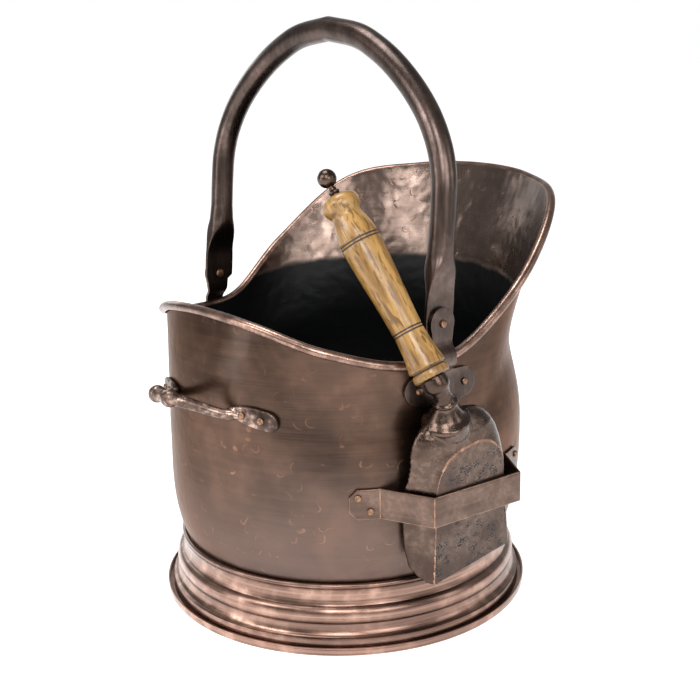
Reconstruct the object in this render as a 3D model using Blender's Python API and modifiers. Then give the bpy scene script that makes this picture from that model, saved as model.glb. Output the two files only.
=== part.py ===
"""Helmet coal bucket with a swinging bail, a tipping handle and a coal shovel in its side pocket.

Metres, +Z up. The origin is the centre of the foot ring on the floor. The pouring hood is at +X,
the bail swings about an axis along Y, the tipping handle is at -X and the shovel hangs at -Y.
"""

import math

import bmesh
import bpy
from mathutils import Matrix, Vector

# Fits and how finely curves are cut
SEAT_GAP = 0.0003
CUT_OVERRUN = 0.004
HOLE_CUT_LENGTH = 0.016
MERGE_DISTANCE = 0.00001
SHARP_ANGLE = math.radians(35)

# Body sheet
SHEET = 0.0012
HEEL_HEIGHT = 0.020
HEEL_RADIUS = 0.1270
BELLY_HEIGHT = 0.150
BELLY_RADIUS = 0.1618
BELLY_LEAN = 0.0040
WAIST_RADIUS = 0.1550
WAIST_LEAN = -0.0024
WAIST_HEIGHT_SHARE = 0.42
LOWER_SWELL_POWER = 3.0
WAIST_POWER = 1.4
FLARE_SHARE = 1.8
ROUND_SEGMENTS = 48
LOWER_ROW_SHARES = (0.0, 0.10, 0.20, 0.30, 0.44, 0.62, 0.81, 1.0)
UPPER_ROWS = 7
FACET_SAG = 0.0004

# Mouth: reach and height of the rim wire from the front (first) round to the back (last)
HOOD_REACH = 0.1877
SIDE_REACH = 0.1550
BACK_REACH = 0.1496
HOOD_HEIGHT = 0.372
SIDE_HEIGHT = 0.2455
BACK_HEIGHT = 0.281
FRONT_REACH_SHARES = (1.0, 1.09, 1.06, 0.55, 0.0)
BACK_REACH_SHARES = (1.0, 2.02, 2.15, 0.95, 0.0)
FRONT_HEIGHT_SHARES = (1.0, 0.968, 0.857, 0.43, 0.04)
BACK_HEIGHT_SHARES = (0.14, 0.0, 0.38, 0.86, 1.0)

# Rolled rim and the wire inside it
WIRE_RADIUS = 0.0022
ROLL_RADIUS = 0.0034
ROLL_TURN = math.radians(290)
ROLL_STEPS = 5
EDGE_STEP = math.radians(1)

# Bottom disc
BOTTOM_SHEET = 0.0012
BOTTOM_FLANGE = 0.0075

# Foot ring: a spun skirt, its heights and radii at the middle of the sheet
FOOT_SHEET = 0.0015
FOOT_RADIUS = 0.170
FOOT_HEIGHT = 0.0575
FOOT_TOP_ROLL = 0.0015
FOOT_TOP_ROLL_STEPS = 2
FOOT_UPPER_COVE_REACH = 0.0009
FOOT_UPPER_COVE_HEIGHT = 0.047
FOOT_UPPER_GROOVE_REACH = 0.1536
FOOT_UPPER_GROOVE_HEIGHT = 0.0375
FOOT_BEAD_REACH = 0.1588
FOOT_BEAD_HEIGHT = 0.0300
FOOT_BEAD_TURN = math.radians(50)
FOOT_LOWER_GROOVE_REACH = 0.1564
FOOT_LOWER_GROOVE_HEIGHT = 0.0235
FOOT_APRON_REACH = 0.1632
FOOT_APRON_HEIGHT = 0.0120
FOOT_APRON_TURN_SHARES = (0.5, 1.0)
FOOT_LIP_HEIGHT = 0.0085
FOOT_CHANNEL_WIDTH = 0.0055
FOOT_CHANNEL_CORNER = 0.0014

# Bail: a pipe bow with flattened ends
HINGE_SETBACK = 0.0260
HINGE_HEIGHT = 0.2749
HINGE_SPREAD = 0.1520
BAIL_TILT = math.radians(5.2)
BAIL_RISE = 0.2315
BAIL_TUBE_RADIUS = 0.01045
BAIL_LEG_SPREAD = 0.1479
BAIL_RISE_SHARES = (0.30, 0.40, 0.50, 0.60, 0.70, 0.79, 0.87, 0.93, 0.975, 1.0)
BAIL_SPREAD_SHARES = (1.0, 1.0, 0.990, 0.945, 0.855, 0.728, 0.575, 0.420, 0.250, 0.0)
BLADE_WIDTH = 0.0310
BLADE_THICKNESS = 0.0035
BLADE_END = 0.0105
BLADE_CORNER = 0.0095
BLADE_RISE = 0.036
BLADE_FADE = 0.024
BLADE_END_SHARES = (-1.0, -0.3)
BLADE_LEG_SHARES = (0.066, 0.5, 1.0)
BLADE_FADE_SHARES = (0.25, 0.5, 0.75, 1.0)
BLADE_SQUARENESS = 6
ROUND_POWER = 2
BAIL_SIDES = 12
BAIL_STEPS = 13
VENT_RADIUS = 0.0016
VENT_DEPTH = 0.004
VENT_HEIGHT = 0.062

# Ears: cranked straps with a three-lobed foot
EAR_THICKNESS = 0.0030
EAR_HEAD_RADIUS = 0.0135
EAR_NECK_HALF = 0.0095
EAR_LOBE_HEIGHT = 0.2227
EAR_LOBE_SPREAD = 0.0230
EAR_LOBE_RADIUS = 0.0125
EAR_TAIL_DROP = 0.0195
EAR_TAIL_RADIUS = 0.0115
EAR_ARC_STEPS = 5
EAR_ROW_HEIGHT = 0.0085
EAR_COLUMN_SHARES = (-1, -0.5, 0, 0.5, 1)
EAR_LIFT_SHARE = 0.8
EAR_CREST_SHARE = 0.7

# Rivets
RIVET_SIDES = 8
RIVET_HEAD = 0.0030
RIVET_RISE = 0.0018
RIVET_SHANK = 0.0019
PIVOT_HEAD = 0.0034
PIVOT_RISE = 0.0022
PIVOT_SHANK = 0.0025
PIVOT_INNER_HEAD = 0.0055
PIVOT_INNER_RISE = 0.0026
RIVET_DOME_SHARE = 0.72

# Tipping handle: a cast bow on two lugs
TIP_LUG_HEIGHT = 0.2025
TIP_LUG_TURN = math.radians(21.8)
TIP_LUG_LENGTH = 0.046
TIP_LUG_HALF = 0.0085
TIP_LUG_THICKNESS = 0.0045
TIP_LUG_FALL = 0.0072
TIP_RIVET_SPREAD = 0.0172
TIP_NECK_TURN = math.radians(14.5)
TIP_BOW_STAND = 0.0428
TIP_BOW_RISE = 0.0165
TIP_BOW_OUT_SHARES = (0.115, 0.24, 0.52, 0.82, 0.95, 1.0)
TIP_BOW_SPREAD_SHARES = (1.04, 0.92, 0.56, 0.33, 0.20, 0.0)
TIP_BOW_RISE_SHARES = (0.0, 0.08, 0.45, 0.82, 0.94, 1.0)
TIP_NECK_RADIUS = 0.0036
TIP_BOW_RADIUS = 0.0054
TIP_RADIUS_SHARES = (1.0, 0.0, 0.4, 1.0, 1.0, 1.0)
TIP_KNUCKLE_RADIUS = 0.0085
TIP_KNUCKLE_SPREAD = 0.0090
TIP_LUMP_RADIUS = 0.0050
TIP_LUMP_DROP = 0.0085
TIP_BOW_STEPS = 18
TIP_GRIP_INDEX = 4
TIP_BALL_SEGMENTS = 9
TIP_BALL_RINGS = 6
TIP_LUG_COLUMN_SHARES = (-0.3, -0.1, 0.1, 0.3)

# Shovel pocket: a bent strap on the near side
POCKET_AZIMUTH = math.radians(-96)
POCKET_LOW = 0.119
POCKET_HIGH = 0.145
POCKET_SHEET = 0.0020
POCKET_BACK_CLEARANCE = 0.0010
POCKET_SIDE_CLEARANCE = 0.0038
POCKET_TAB_GAP = 0.00045
POCKET_BEND_TURN = math.radians(24.6)
POCKET_TAB_TURN = math.radians(9.2)
POCKET_TAB_STEPS = 4
POCKET_CLIP = 0.0065
POCKET_RIVET_TURN_SHARES = (0.33, 0.72)
POCKET_RIVET_HEIGHT_SHARES = (0.27, 0.73)

# Shovel, in its own frame: across, along from the cutting edge, and out through the flat face
SHOVEL_ROLL = math.radians(10.5)
SHOVEL_LEAN = math.radians(6)
SHOVEL_TIP_ACROSS = 0.0030
SHOVEL_TIP_HEIGHT = 0.0705
PAN_LENGTH = 0.130
PAN_TIP_HALF = 0.0417
PAN_TAPER = 0.133
PAN_DEPTH = 0.028
PAN_WALL = 0.0022
PAN_CROWN = 0.0060
PAN_FLARE_LOW = 0.15
PAN_FLARE_HIGH = 0.42
PAN_ALONG_SHARES = (0.0, 0.03, 0.08, 0.19, 0.34, 0.50, 0.65, 0.74, 0.82, 0.88, 0.93, 0.97, 1.0)
PAN_DEPTH_SHARES = (0.12, 0.34, 0.58, 0.71, 0.79, 0.89, 0.98, 1.0, 1.0, 0.98, 0.95, 0.87, 0.72)
PAN_WIDTH_SHARES = (1.0, 1.0, 1.0, 1.0, 1.0, 1.0, 1.0, 0.99, 0.93, 0.84, 0.70, 0.50, 0.20)
PAN_CROWN_SHARES = (1.0, 1.0, 1.0, 1.0, 1.0, 1.0, 0.92, 0.62, 0.10, -0.30, -0.85, -1.55, -2.4)
PAN_SQUARE_SHARES = (1.0, 1.0, 1.0, 1.0, 1.0, 1.0, 0.85, 0.55, 0.30, 0.16, 0.08, 0.03, 0.0)
PAN_SQUARE_POWER = 12.0
PAN_ROUND_POWER = 2.2
PAN_HEEL_THICKNESS = 0.0055
PAN_SIDES = 20
SOCKET_PLACES = (
    (0.0010, 0.1160, -0.0140),
    (-0.0005, 0.1230, -0.0135),
    (-0.0050, 0.1370, -0.0095),
    (-0.0100, 0.1530, -0.0050),
    (-0.0109, 0.1640, -0.0095),
    (-0.0109, 0.1745, -0.0177),
)
SOCKET_BELL_RADIUS = 0.0185
SOCKET_NECK_RADIUS = 0.0086
SOCKET_TURN_SHARES = (0.0, 0.13, 0.17, 0.21, 0.30, 0.40, 0.50, 0.55, 0.59, 0.63, 0.72, 0.80, 0.84, 1.0)
SOCKET_RADIUS_SHARES = (0.30, 0.92, 1.0, 0.82, 0.55, 0.28, 0.08, 0.16, 0.20, 0.05, 0.0, 0.0, 0.12, 0.12)
SOCKET_SIDES = 14
SOCKET_STEP_SHARE = 0.05

# Grip, rod and finial along the handle
GRIP_END = (-0.0146, 0.3125, -0.1226)
GRIP_LENGTH = 0.1620
GRIP_RADIUS = 0.0167
GRIP_ALONG_SHARES = (
    0.0, 0.004, 0.036, 0.042, 0.050, 0.056, 0.110, 0.180, 0.247, 0.262, 0.380, 0.520,
    0.640, 0.742, 0.758, 0.800, 0.860, 0.895, 0.915, 0.935, 0.965, 0.990, 1.0,
)
GRIP_RADIUS_SHARES = (
    0.84, 0.89, 0.89, 0.80, 0.80, 0.93, 0.85, 0.78, 0.750, 0.755, 0.80, 0.89,
    0.96, 1.0, 1.0, 0.96, 0.82, 0.74, 0.80, 0.91, 0.93, 0.82, 0.62,
)
GRIP_SEGMENTS = 18
ROD_RADIUS = 0.0030
ROD_SOCKET_DEPTH = 0.009
ROD_FINIAL_DEPTH = 0.007
FINIAL_STEM_RADIUS = 0.0046
FINIAL_STEM_LENGTH = 0.0085
FINIAL_BALL_RADIUS = 0.0078
FINIAL_SEGMENTS = 12
FINIAL_BALL_STEPS = 6

COLOURS = {
    "antique copper": ((0.115, 0.060, 0.040), 0.38, 1.0),
    "bright copper": ((0.290, 0.140, 0.085), 0.30, 1.0),
    "dark bronze": ((0.100, 0.070, 0.060), 0.42, 1.0),
    "cast copper": ((0.130, 0.085, 0.065), 0.50, 1.0),
    "rivet copper": ((0.300, 0.160, 0.090), 0.40, 1.0),
    "steel": ((0.350, 0.340, 0.330), 0.45, 1.0),
    "waxed wood": ((0.480, 0.260, 0.070), 0.35, 0.0),
}

X_AXIS = Vector((1, 0, 0))
Y_AXIS = Vector((0, 1, 0))
Z_AXIS = Vector((0, 0, 1))


def clear_scene():
    """Remove everything that the scene holds."""
    for obj in list(bpy.data.objects):
        bpy.data.objects.remove(obj, do_unlink=True)


def collection(name):
    """Make a collection of the scene."""
    made = bpy.data.collections.new(name)
    bpy.context.scene.collection.children.link(made)
    return made


def material(name):
    """Give the material of this name, made once."""
    if name in bpy.data.materials:
        return bpy.data.materials[name]
    colour, roughness, metallic = COLOURS[name]
    made = bpy.data.materials.new(name)
    made.use_nodes = True
    shader = made.node_tree.nodes["Principled BSDF"]
    shader.inputs["Base Color"].default_value = (*colour, 1)
    shader.inputs["Roughness"].default_value = roughness
    shader.inputs["Metallic"].default_value = metallic
    return made


def place(name, mesh, finish, parent=None):
    """Link a finished mesh as a part of the bucket, shaded smooth between its sharp edges."""
    mesh.shade_smooth()
    mesh.set_sharp_from_angle(angle=SHARP_ANGLE)
    obj = bpy.data.objects.new(name, mesh)
    obj.data.materials.append(material(finish))
    PARTS.objects.link(obj)
    obj.parent = parent
    return obj


def helper(name, mesh, parent=None):
    """Link a mesh that only cuts or joins another."""
    obj = bpy.data.objects.new(name, mesh)
    obj.hide_render = True
    obj.display_type = "WIRE"
    CUTTERS.objects.link(obj)
    obj.parent = parent
    return obj


def mesh_of(bm, name):
    """Turn a bmesh into a mesh with its faces pointing out."""
    bmesh.ops.recalc_face_normals(bm, faces=bm.faces)
    mesh = bpy.data.meshes.new(name)
    bm.to_mesh(mesh)
    bm.free()
    return mesh


def boolean(obj, other, operation="DIFFERENCE"):
    """Cut or join another object."""
    modifier = obj.modifiers.new(other.name, "BOOLEAN")
    modifier.operation = operation
    modifier.solver = "EXACT"
    modifier.object = other


def solidify(obj, thickness, offset=0.0):
    """Give an open sheet its thickness."""
    modifier = obj.modifiers.new("wall", "SOLIDIFY")
    modifier.thickness = thickness
    modifier.offset = offset
    modifier.use_even_offset = True


def turned(name, profile, segments, closed):
    """Mesh of an outline in (radius, height) turned about Z."""
    bm = bmesh.new()
    points = [bm.verts.new((radius, 0, height)) for radius, height in profile]
    edges = [bm.edges.new(pair) for pair in zip(points, points[1:])]
    if closed:
        edges.append(bm.edges.new((points[-1], points[0])))
    bmesh.ops.spin(
        bm,
        geom=points + edges,
        cent=(0, 0, 0),
        axis=Z_AXIS,
        angle=math.tau,
        steps=segments,
        use_merge=True,
    )
    bmesh.ops.remove_doubles(bm, verts=bm.verts, dist=MERGE_DISTANCE)
    return mesh_of(bm, name)


def loft(bm, rings, around, capped):
    """Skin a row of rings of equally many points, closed around each ring if asked."""
    rows = [[bm.verts.new(point) for point in ring] for ring in rings]
    count = len(rows[0])
    for low, high in zip(rows, rows[1:]):
        for index in range(count if around else count - 1):
            after = (index + 1) % count
            bm.faces.new((low[index], low[after], high[after], high[index]))
    if capped:
        bm.faces.new(rows[0][::-1])
        bm.faces.new(rows[-1])
    return rows


def add_cylinder(bm, centre, axis, radius, length, sides):
    """Add a closed cylinder round a centre, its length along an axis."""
    turn = Z_AXIS.rotation_difference(axis).to_matrix().to_4x4()
    bmesh.ops.create_cone(
        bm,
        cap_ends=True,
        segments=sides,
        radius1=radius,
        radius2=radius,
        depth=length,
        matrix=Matrix.Translation(centre) @ turn,
    )


def squared_ring(sides, power, offset):
    """Points of a unit ring between a circle, at power 2, and a rounded square."""
    ring = []
    for side in range(sides):
        turn = math.tau * (side + offset) / sides
        across = math.copysign(abs(math.cos(turn)) ** (2 / power), math.cos(turn))
        up = math.copysign(abs(math.sin(turn)) ** (2 / power), math.sin(turn))
        ring.append((across, up))
    return ring


def smooth_step(share):
    """Ease from nought to one."""
    share = min(max(share, 0.0), 1.0)
    return share * share * (3 - 2 * share)


def smooth_table(values, share, mirrored=True):
    """Read a smooth curve through evenly spaced values at a share of its length."""
    last = len(values) - 1
    place_in = min(max(share, 0.0), 1.0) * last
    index = min(int(place_in), last - 1)
    ahead = place_in - index
    start = values[index]
    stop = values[index + 1]
    before = values[index - 1] if index else (values[1] if mirrored else 2 * start - stop)
    if index + 2 <= last:
        beyond = values[index + 2]
    else:
        beyond = values[last - 1] if mirrored else 2 * stop - start
    slope_in = (stop - before) / 2
    slope_out = (beyond - start) / 2
    rise = stop - start
    curve = 3 * rise - 2 * slope_in - slope_out
    bend = slope_in + slope_out - 2 * rise
    return start + ahead * (slope_in + ahead * (curve + ahead * bend))


def smooth_point(points, share):
    """A point at a share of a smooth curve through a few chosen ones."""
    axes = zip(*points)
    return Vector([smooth_table(values, share, False) for values in axes])


def smooth_path(points, steps):
    """Points in even steps along a smooth curve through a few chosen ones."""
    return [smooth_point(points, step / steps) for step in range(steps + 1)]


def at_share(shares, values, share):
    """Read values given at uneven shares of a length."""
    for low, high, start, stop in zip(shares, shares[1:], values, values[1:]):
        if share <= high:
            return start + (stop - start) * (share - low) / (high - low)
    return values[-1]


def around(radius, azimuth, height):
    """A point at a radius, an azimuth and a height."""
    return Vector((radius * math.cos(azimuth), radius * math.sin(azimuth), height))


def half_turn_share(azimuth):
    """How far round from the front to the back an azimuth is, from nought to one."""
    return abs(math.remainder(azimuth, math.tau)) / math.pi


def mouth_tables():
    """Reach and height of the rim, from front to back, in even steps."""
    reach = [SIDE_REACH + (HOOD_REACH - SIDE_REACH) * share for share in FRONT_REACH_SHARES]
    reach += [BACK_REACH + (SIDE_REACH - BACK_REACH) * share for share in BACK_REACH_SHARES[1:]]
    height = [SIDE_HEIGHT + (HOOD_HEIGHT - SIDE_HEIGHT) * share for share in FRONT_HEIGHT_SHARES]
    height += [SIDE_HEIGHT + (BACK_HEIGHT - SIDE_HEIGHT) * share for share in BACK_HEIGHT_SHARES[1:]]
    return reach, height


def rim_reach(azimuth):
    """Radius of the rim wire's centre."""
    return smooth_table(mouth_tables()[0], half_turn_share(azimuth))


def rim_height(azimuth):
    """Height of the rim wire's centre."""
    return smooth_table(mouth_tables()[1], half_turn_share(azimuth))


def body_radius(azimuth, height):
    """Radius of the middle of the body sheet."""
    belly = BELLY_RADIUS + BELLY_LEAN * math.cos(azimuth)
    waist = WAIST_RADIUS + WAIST_LEAN * math.cos(azimuth)
    top = rim_height(azimuth)
    waist_height = BELLY_HEIGHT + (top - BELLY_HEIGHT) * WAIST_HEIGHT_SHARE
    if height <= BELLY_HEIGHT:
        drop = (BELLY_HEIGHT - height) / (BELLY_HEIGHT - HEEL_HEIGHT)
        climb = (height - FOOT_HEIGHT) / (BELLY_HEIGHT - FOOT_HEIGHT)
        lean = (belly - BELLY_RADIUS) * smooth_step(climb)
        return BELLY_RADIUS + lean - (BELLY_RADIUS - HEEL_RADIUS) * drop**LOWER_SWELL_POWER
    if height <= waist_height:
        climb = (height - BELLY_HEIGHT) / (waist_height - BELLY_HEIGHT)
        return belly + (waist - belly) * smooth_step(climb**WAIST_POWER)
    climb = (height - waist_height) / (top - waist_height)
    flare = climb * climb * (FLARE_SHARE + (1 - FLARE_SHARE) * climb)
    return waist + (rim_reach(azimuth) - ROLL_RADIUS - waist) * flare


def body_outside(azimuth, height):
    """Radius of the outer face of the body sheet."""
    return body_radius(azimuth, height) + SHEET / 2


def body_edge(azimuth):
    """Top edge of the body sheet, where its roll starts."""
    height = rim_height(azimuth)
    return around(body_radius(azimuth, height), azimuth, height)


def rim_frame(azimuth):
    """Edge of the sheet, its outward normal and the way up the sheet."""
    edge = body_edge(azimuth)
    along = (body_edge(azimuth + EDGE_STEP) - body_edge(azimuth - EDGE_STEP)).normalized()
    below = edge.z - ROLL_RADIUS
    climb = edge - around(body_radius(azimuth, below), azimuth, below)
    outward = along.cross(climb).normalized()
    return edge, outward, outward.cross(along)


def on_body(azimuth, arc, height, out):
    """A point that lies off the body by a distance, an arc's length round from an azimuth."""
    turn = azimuth + arc / body_outside(azimuth, height)
    return around(body_outside(turn, height) + out, turn, height)


def build_body():
    """The body sheet from heel to hood, its rim rolled outward over the wire."""
    rings = []
    azimuths = [math.tau * index / ROUND_SEGMENTS for index in range(ROUND_SEGMENTS)]
    for share in LOWER_ROW_SHARES:
        height = HEEL_HEIGHT + (BELLY_HEIGHT - HEEL_HEIGHT) * share
        rings.append([around(body_radius(azimuth, height), azimuth, height) for azimuth in azimuths])
    for row in range(1, UPPER_ROWS + 1):
        ring = []
        for azimuth in azimuths:
            height = BELLY_HEIGHT + (rim_height(azimuth) - BELLY_HEIGHT) * row / UPPER_ROWS
            ring.append(around(body_radius(azimuth, height), azimuth, height))
        rings.append(ring)
    frames = [rim_frame(azimuth) for azimuth in azimuths]
    for step in range(1, ROLL_STEPS + 1):
        turn = ROLL_TURN * step / ROLL_STEPS
        out = ROLL_RADIUS * (1 - math.cos(turn))
        up = ROLL_RADIUS * math.sin(turn)
        rings.append([edge + outward * out + upward * up for edge, outward, upward in frames])
    bm = bmesh.new()
    loft(bm, rings, around=True, capped=False)
    body = place("bucket_body", mesh_of(bm, "bucket_body"), "antique copper")
    solidify(body, SHEET)
    return body


def build_rim_wire():
    """The wire that the rim is rolled over."""
    curve = bpy.data.curves.new("rim_wire", "CURVE")
    curve.dimensions = "3D"
    curve.bevel_depth = WIRE_RADIUS
    curve.bevel_resolution = 1
    spline = curve.splines.new("POLY")
    spline.points.add(ROUND_SEGMENTS - 1)
    spline.use_cyclic_u = True
    for index, point in enumerate(spline.points):
        edge, outward, _ = rim_frame(math.tau * index / ROUND_SEGMENTS)
        point.co = (*(edge + outward * ROLL_RADIUS), 1)
    wire = bpy.data.objects.new("rim_wire", curve)
    curve.materials.append(material("steel"))
    PARTS.objects.link(wire)


def build_bottom():
    """The bottom disc, its flange turned up inside the body's heel."""
    floor = HEEL_HEIGHT + BOTTOM_SHEET / 2
    top = floor + BOTTOM_FLANGE
    inset = SEAT_GAP + (SHEET + BOTTOM_SHEET) * 0.5 * math.sqrt(2)
    profile = [
        (0, floor),
        (body_radius(math.pi / 2, floor) - inset, floor),
        (body_radius(math.pi / 2, top) - inset, top),
    ]
    mesh = turned("bucket_bottom", profile, ROUND_SEGMENTS, False)
    solidify(place("bucket_bottom", mesh, "antique copper"), BOTTOM_SHEET)


def arc_points(centre, radius, start, stop, steps):
    """Points on an arc of a plane outline."""
    turns = [start + (stop - start) * step / steps for step in range(steps + 1)]
    across, up = centre
    return [(across + radius * math.cos(turn), up + radius * math.sin(turn)) for turn in turns]


def foot_profile():
    """Middle of the foot ring's sheet, from its top roll down to the turned-up lip."""
    half = FOOT_SHEET / 2
    level = FOOT_HEIGHT - half - FOOT_TOP_ROLL
    climb = math.hypot(body_outside(0, FOOT_HEIGHT) - body_outside(0, level), FOOT_HEIGHT - level)
    away = (FOOT_TOP_ROLL + half + SEAT_GAP) * climb / (FOOT_HEIGHT - level)
    roll = (body_outside(0, level) + away, level)
    profile = arc_points(roll, FOOT_TOP_ROLL, math.pi, -math.pi / 4, FOOT_TOP_ROLL_STEPS)
    cove = (roll[0] - FOOT_TOP_ROLL + FOOT_UPPER_COVE_REACH, FOOT_UPPER_COVE_HEIGHT)
    groove = (FOOT_UPPER_GROOVE_REACH, FOOT_UPPER_GROOVE_HEIGHT)
    profile += [cove, groove]
    tall = FOOT_UPPER_GROOVE_HEIGHT - FOOT_BEAD_HEIGHT
    short = FOOT_BEAD_HEIGHT - FOOT_LOWER_GROOVE_HEIGHT
    for turn in (FOOT_BEAD_TURN, 0, -FOOT_BEAD_TURN):
        deep = FOOT_UPPER_GROOVE_REACH if turn > 0 else FOOT_LOWER_GROOVE_REACH
        reach = deep + (FOOT_BEAD_REACH - deep) * math.cos(turn)
        profile.append((reach, FOOT_BEAD_HEIGHT + (tall if turn > 0 else short) * math.sin(turn)))
    profile.append((FOOT_LOWER_GROOVE_REACH, FOOT_LOWER_GROOVE_HEIGHT))
    across = FOOT_APRON_REACH - FOOT_LOWER_GROOVE_REACH
    down = FOOT_LOWER_GROOVE_HEIGHT - FOOT_APRON_HEIGHT
    for share in FOOT_APRON_TURN_SHARES:
        turn = math.pi / 2 * share
        reach = FOOT_LOWER_GROOVE_REACH + across * (1 - math.cos(turn))
        profile.append((reach, FOOT_LOWER_GROOVE_HEIGHT - down * math.sin(turn)))
    outer = FOOT_RADIUS - half
    inner = outer - FOOT_CHANNEL_WIDTH
    corner = FOOT_CHANNEL_CORNER
    profile.append((inner, half + corner))
    profile.append((inner + corner, half))
    profile.append((outer - corner, half))
    profile.append((outer, half + corner))
    profile.append((outer, FOOT_LIP_HEIGHT - half))
    return profile


def build_foot_ring():
    """The spun foot ring that carries the body."""
    mesh = turned("foot_ring", foot_profile(), ROUND_SEGMENTS, False)
    ring = place("foot_ring", mesh, "bright copper")
    solidify(ring, FOOT_SHEET)


def rivet_profile(head, rise, shank, grip, inner_head, inner_rise):
    """Outline of a rivet, its outer head's seat at height nought and its shank running down."""
    dome = RIVET_DOME_SHARE
    return [
        (0, rise),
        (head * dome, rise * dome),
        (head, 0),
        (shank, 0),
        (shank, -grip),
        (inner_head, -grip),
        (0, -grip - inner_rise),
    ]


def build_rivet(name, seat, axis, grip, sizes, finish):
    """A rivet whose outer head sits at a point, its shank running in along an axis."""
    head, rise, shank, inner_head, inner_rise = sizes
    profile = rivet_profile(head, rise, shank, grip, inner_head, inner_rise)
    rivet = place(name, turned(name, profile, RIVET_SIDES, False), finish)
    rivet.location = seat
    rivet.rotation_mode = "QUATERNION"
    rivet.rotation_quaternion = Z_AXIS.rotation_difference(axis)


def body_rivet(name, azimuth, arc, height, plate):
    """A rivet that holds a plate of some thickness on the body. Gives its hole's centre and axis."""
    seat = on_body(azimuth, arc, height, SEAT_GAP + plate + SEAT_GAP)
    axis = Vector((seat.x, seat.y, 0)).normalized()
    grip = plate + SHEET + 3 * SEAT_GAP + FACET_SAG
    sizes = (RIVET_HEAD, RIVET_RISE, RIVET_SHANK, RIVET_HEAD, RIVET_RISE)
    build_rivet(name, seat, axis, grip, sizes, "rivet copper")
    return seat, axis


def cut_holes(name, obj, holes, radius, parent=None):
    """Cut round holes, each given by its centre and axis, through a part."""
    bm = bmesh.new()
    for centre, axis in holes:
        add_cylinder(bm, centre, axis, radius + SEAT_GAP, HOLE_CUT_LENGTH, RIVET_SIDES)
    boolean(obj, helper(name, mesh_of(bm, name), parent))


def ear_outline():
    """Outline of an ear laid flat: distance across and height."""
    lobe = (EAR_LOBE_SPREAD, EAR_LOBE_HEIGHT)
    tail = (0, EAR_LOBE_HEIGHT - EAR_TAIL_DROP)
    right = math.pi / 2
    neck_height = (EAR_LOBE_HEIGHT + EAR_LOBE_RADIUS + HINGE_HEIGHT - EAR_HEAD_RADIUS) / 2
    right_side = arc_points((0, HINGE_HEIGHT), EAR_HEAD_RADIUS, right, -right / 4, EAR_ARC_STEPS)
    right_side.append((EAR_NECK_HALF, neck_height))
    right_side.append((EAR_NECK_HALF, EAR_LOBE_HEIGHT + EAR_LOBE_RADIUS))
    right_side += arc_points(lobe, EAR_LOBE_RADIUS, right, -right, EAR_ARC_STEPS)
    right_side += arc_points(tail, EAR_TAIL_RADIUS, right / 4, -right, EAR_ARC_STEPS)
    left_side = [(-across, height) for across, height in right_side[-2:0:-1]]
    return right_side + left_side


def ear_azimuth():
    """Azimuth of the near ear's foot."""
    return -math.acos(-HINGE_SETBACK / body_outside(-math.pi / 2, EAR_LOBE_HEIGHT))


def ear_bead_plane():
    """Distance from the middle plane at which an ear's sheet clears the rolled rim."""
    azimuth = -math.acos((EAR_NECK_HALF - HINGE_SETBACK) / SIDE_REACH)
    edge, outward, _ = rim_frame(azimuth)
    bead = edge + outward * ROLL_RADIUS
    clear = ROLL_RADIUS + SHEET / 2 + SEAT_GAP + FACET_SAG
    return -bead.y + clear + EAR_THICKNESS / 2, bead.z


def ear_point(across, height, out):
    """Bend a point of the flat ear to the body, over the rim and in to the hinge."""
    foot = on_body(ear_azimuth(), across, height, SEAT_GAP + EAR_THICKNESS / 2 + out)
    bead_plane, bead_height = ear_bead_plane()
    hinge_plane = HINGE_SPREAD + SEAT_GAP / 2 + EAR_THICKNESS / 2
    lobe_top = EAR_LOBE_HEIGHT + EAR_LOBE_RADIUS * EAR_LIFT_SHARE
    bead_low = bead_height - ROLL_RADIUS * EAR_CREST_SHARE
    bead_top = bead_height + ROLL_RADIUS * EAR_LIFT_SHARE
    blade_low = HINGE_HEIGHT - BLADE_WIDTH / 2 - SEAT_GAP
    lean = smooth_step((height - bead_top) / (blade_low - bead_top))
    plane = bead_plane + (hinge_plane - bead_plane) * lean
    upper = Vector((across - HINGE_SETBACK, -plane - out, height))
    return foot.lerp(upper, smooth_step((height - lobe_top) / (bead_low - lobe_top)))


def build_ear(name, side):
    """A cranked ear strap: a flat outline cut into rows and bent. The far one is mirrored."""
    bm = bmesh.new()
    half = EAR_THICKNESS / 2
    face = bm.faces.new([bm.verts.new((across, -half, height)) for across, height in ear_outline()])
    pushed = bmesh.ops.extrude_face_region(bm, geom=[face])["geom"]
    raised = [item for item in pushed if isinstance(item, bmesh.types.BMVert)]
    bmesh.ops.translate(bm, verts=raised, vec=(0, EAR_THICKNESS, 0))
    low = min(vert.co.z for vert in bm.verts)
    high = max(vert.co.z for vert in bm.verts)
    rows = round((high - low) / EAR_ROW_HEIGHT)
    cuts = [(Vector((0, 0, low + (high - low) * row / rows)), Z_AXIS) for row in range(1, rows)]
    for share in EAR_COLUMN_SHARES:
        cuts.append((Vector((EAR_LOBE_SPREAD * share, 0, 0)), X_AXIS))
    for point, normal in cuts:
        everything = bm.verts[:] + bm.edges[:] + bm.faces[:]
        bmesh.ops.bisect_plane(bm, geom=everything, dist=MERGE_DISTANCE, plane_co=point, plane_no=normal)
    bmesh.ops.triangulate(bm, faces=bm.faces)
    for vert in bm.verts:
        bent = ear_point(vert.co.x, vert.co.z, -vert.co.y)
        vert.co = (bent.x, bent.y * -side, bent.z)
    ear = place(name, mesh_of(bm, name), "dark bronze")
    tail = EAR_LOBE_HEIGHT - EAR_TAIL_DROP
    places = ((EAR_LOBE_SPREAD, EAR_LOBE_HEIGHT), (-EAR_LOBE_SPREAD, EAR_LOBE_HEIGHT), (0, tail))
    holes = []
    for label, (across, height) in zip(("front", "rear", "low"), places):
        azimuth = ear_azimuth() * -side
        arc = across * -side
        holes.append(body_rivet(f"{name}_rivet_{label}", azimuth, arc, height, EAR_THICKNESS))
    cut_holes(f"{name}_holes", ear, holes, RIVET_SHANK)
    return ear, holes


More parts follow.
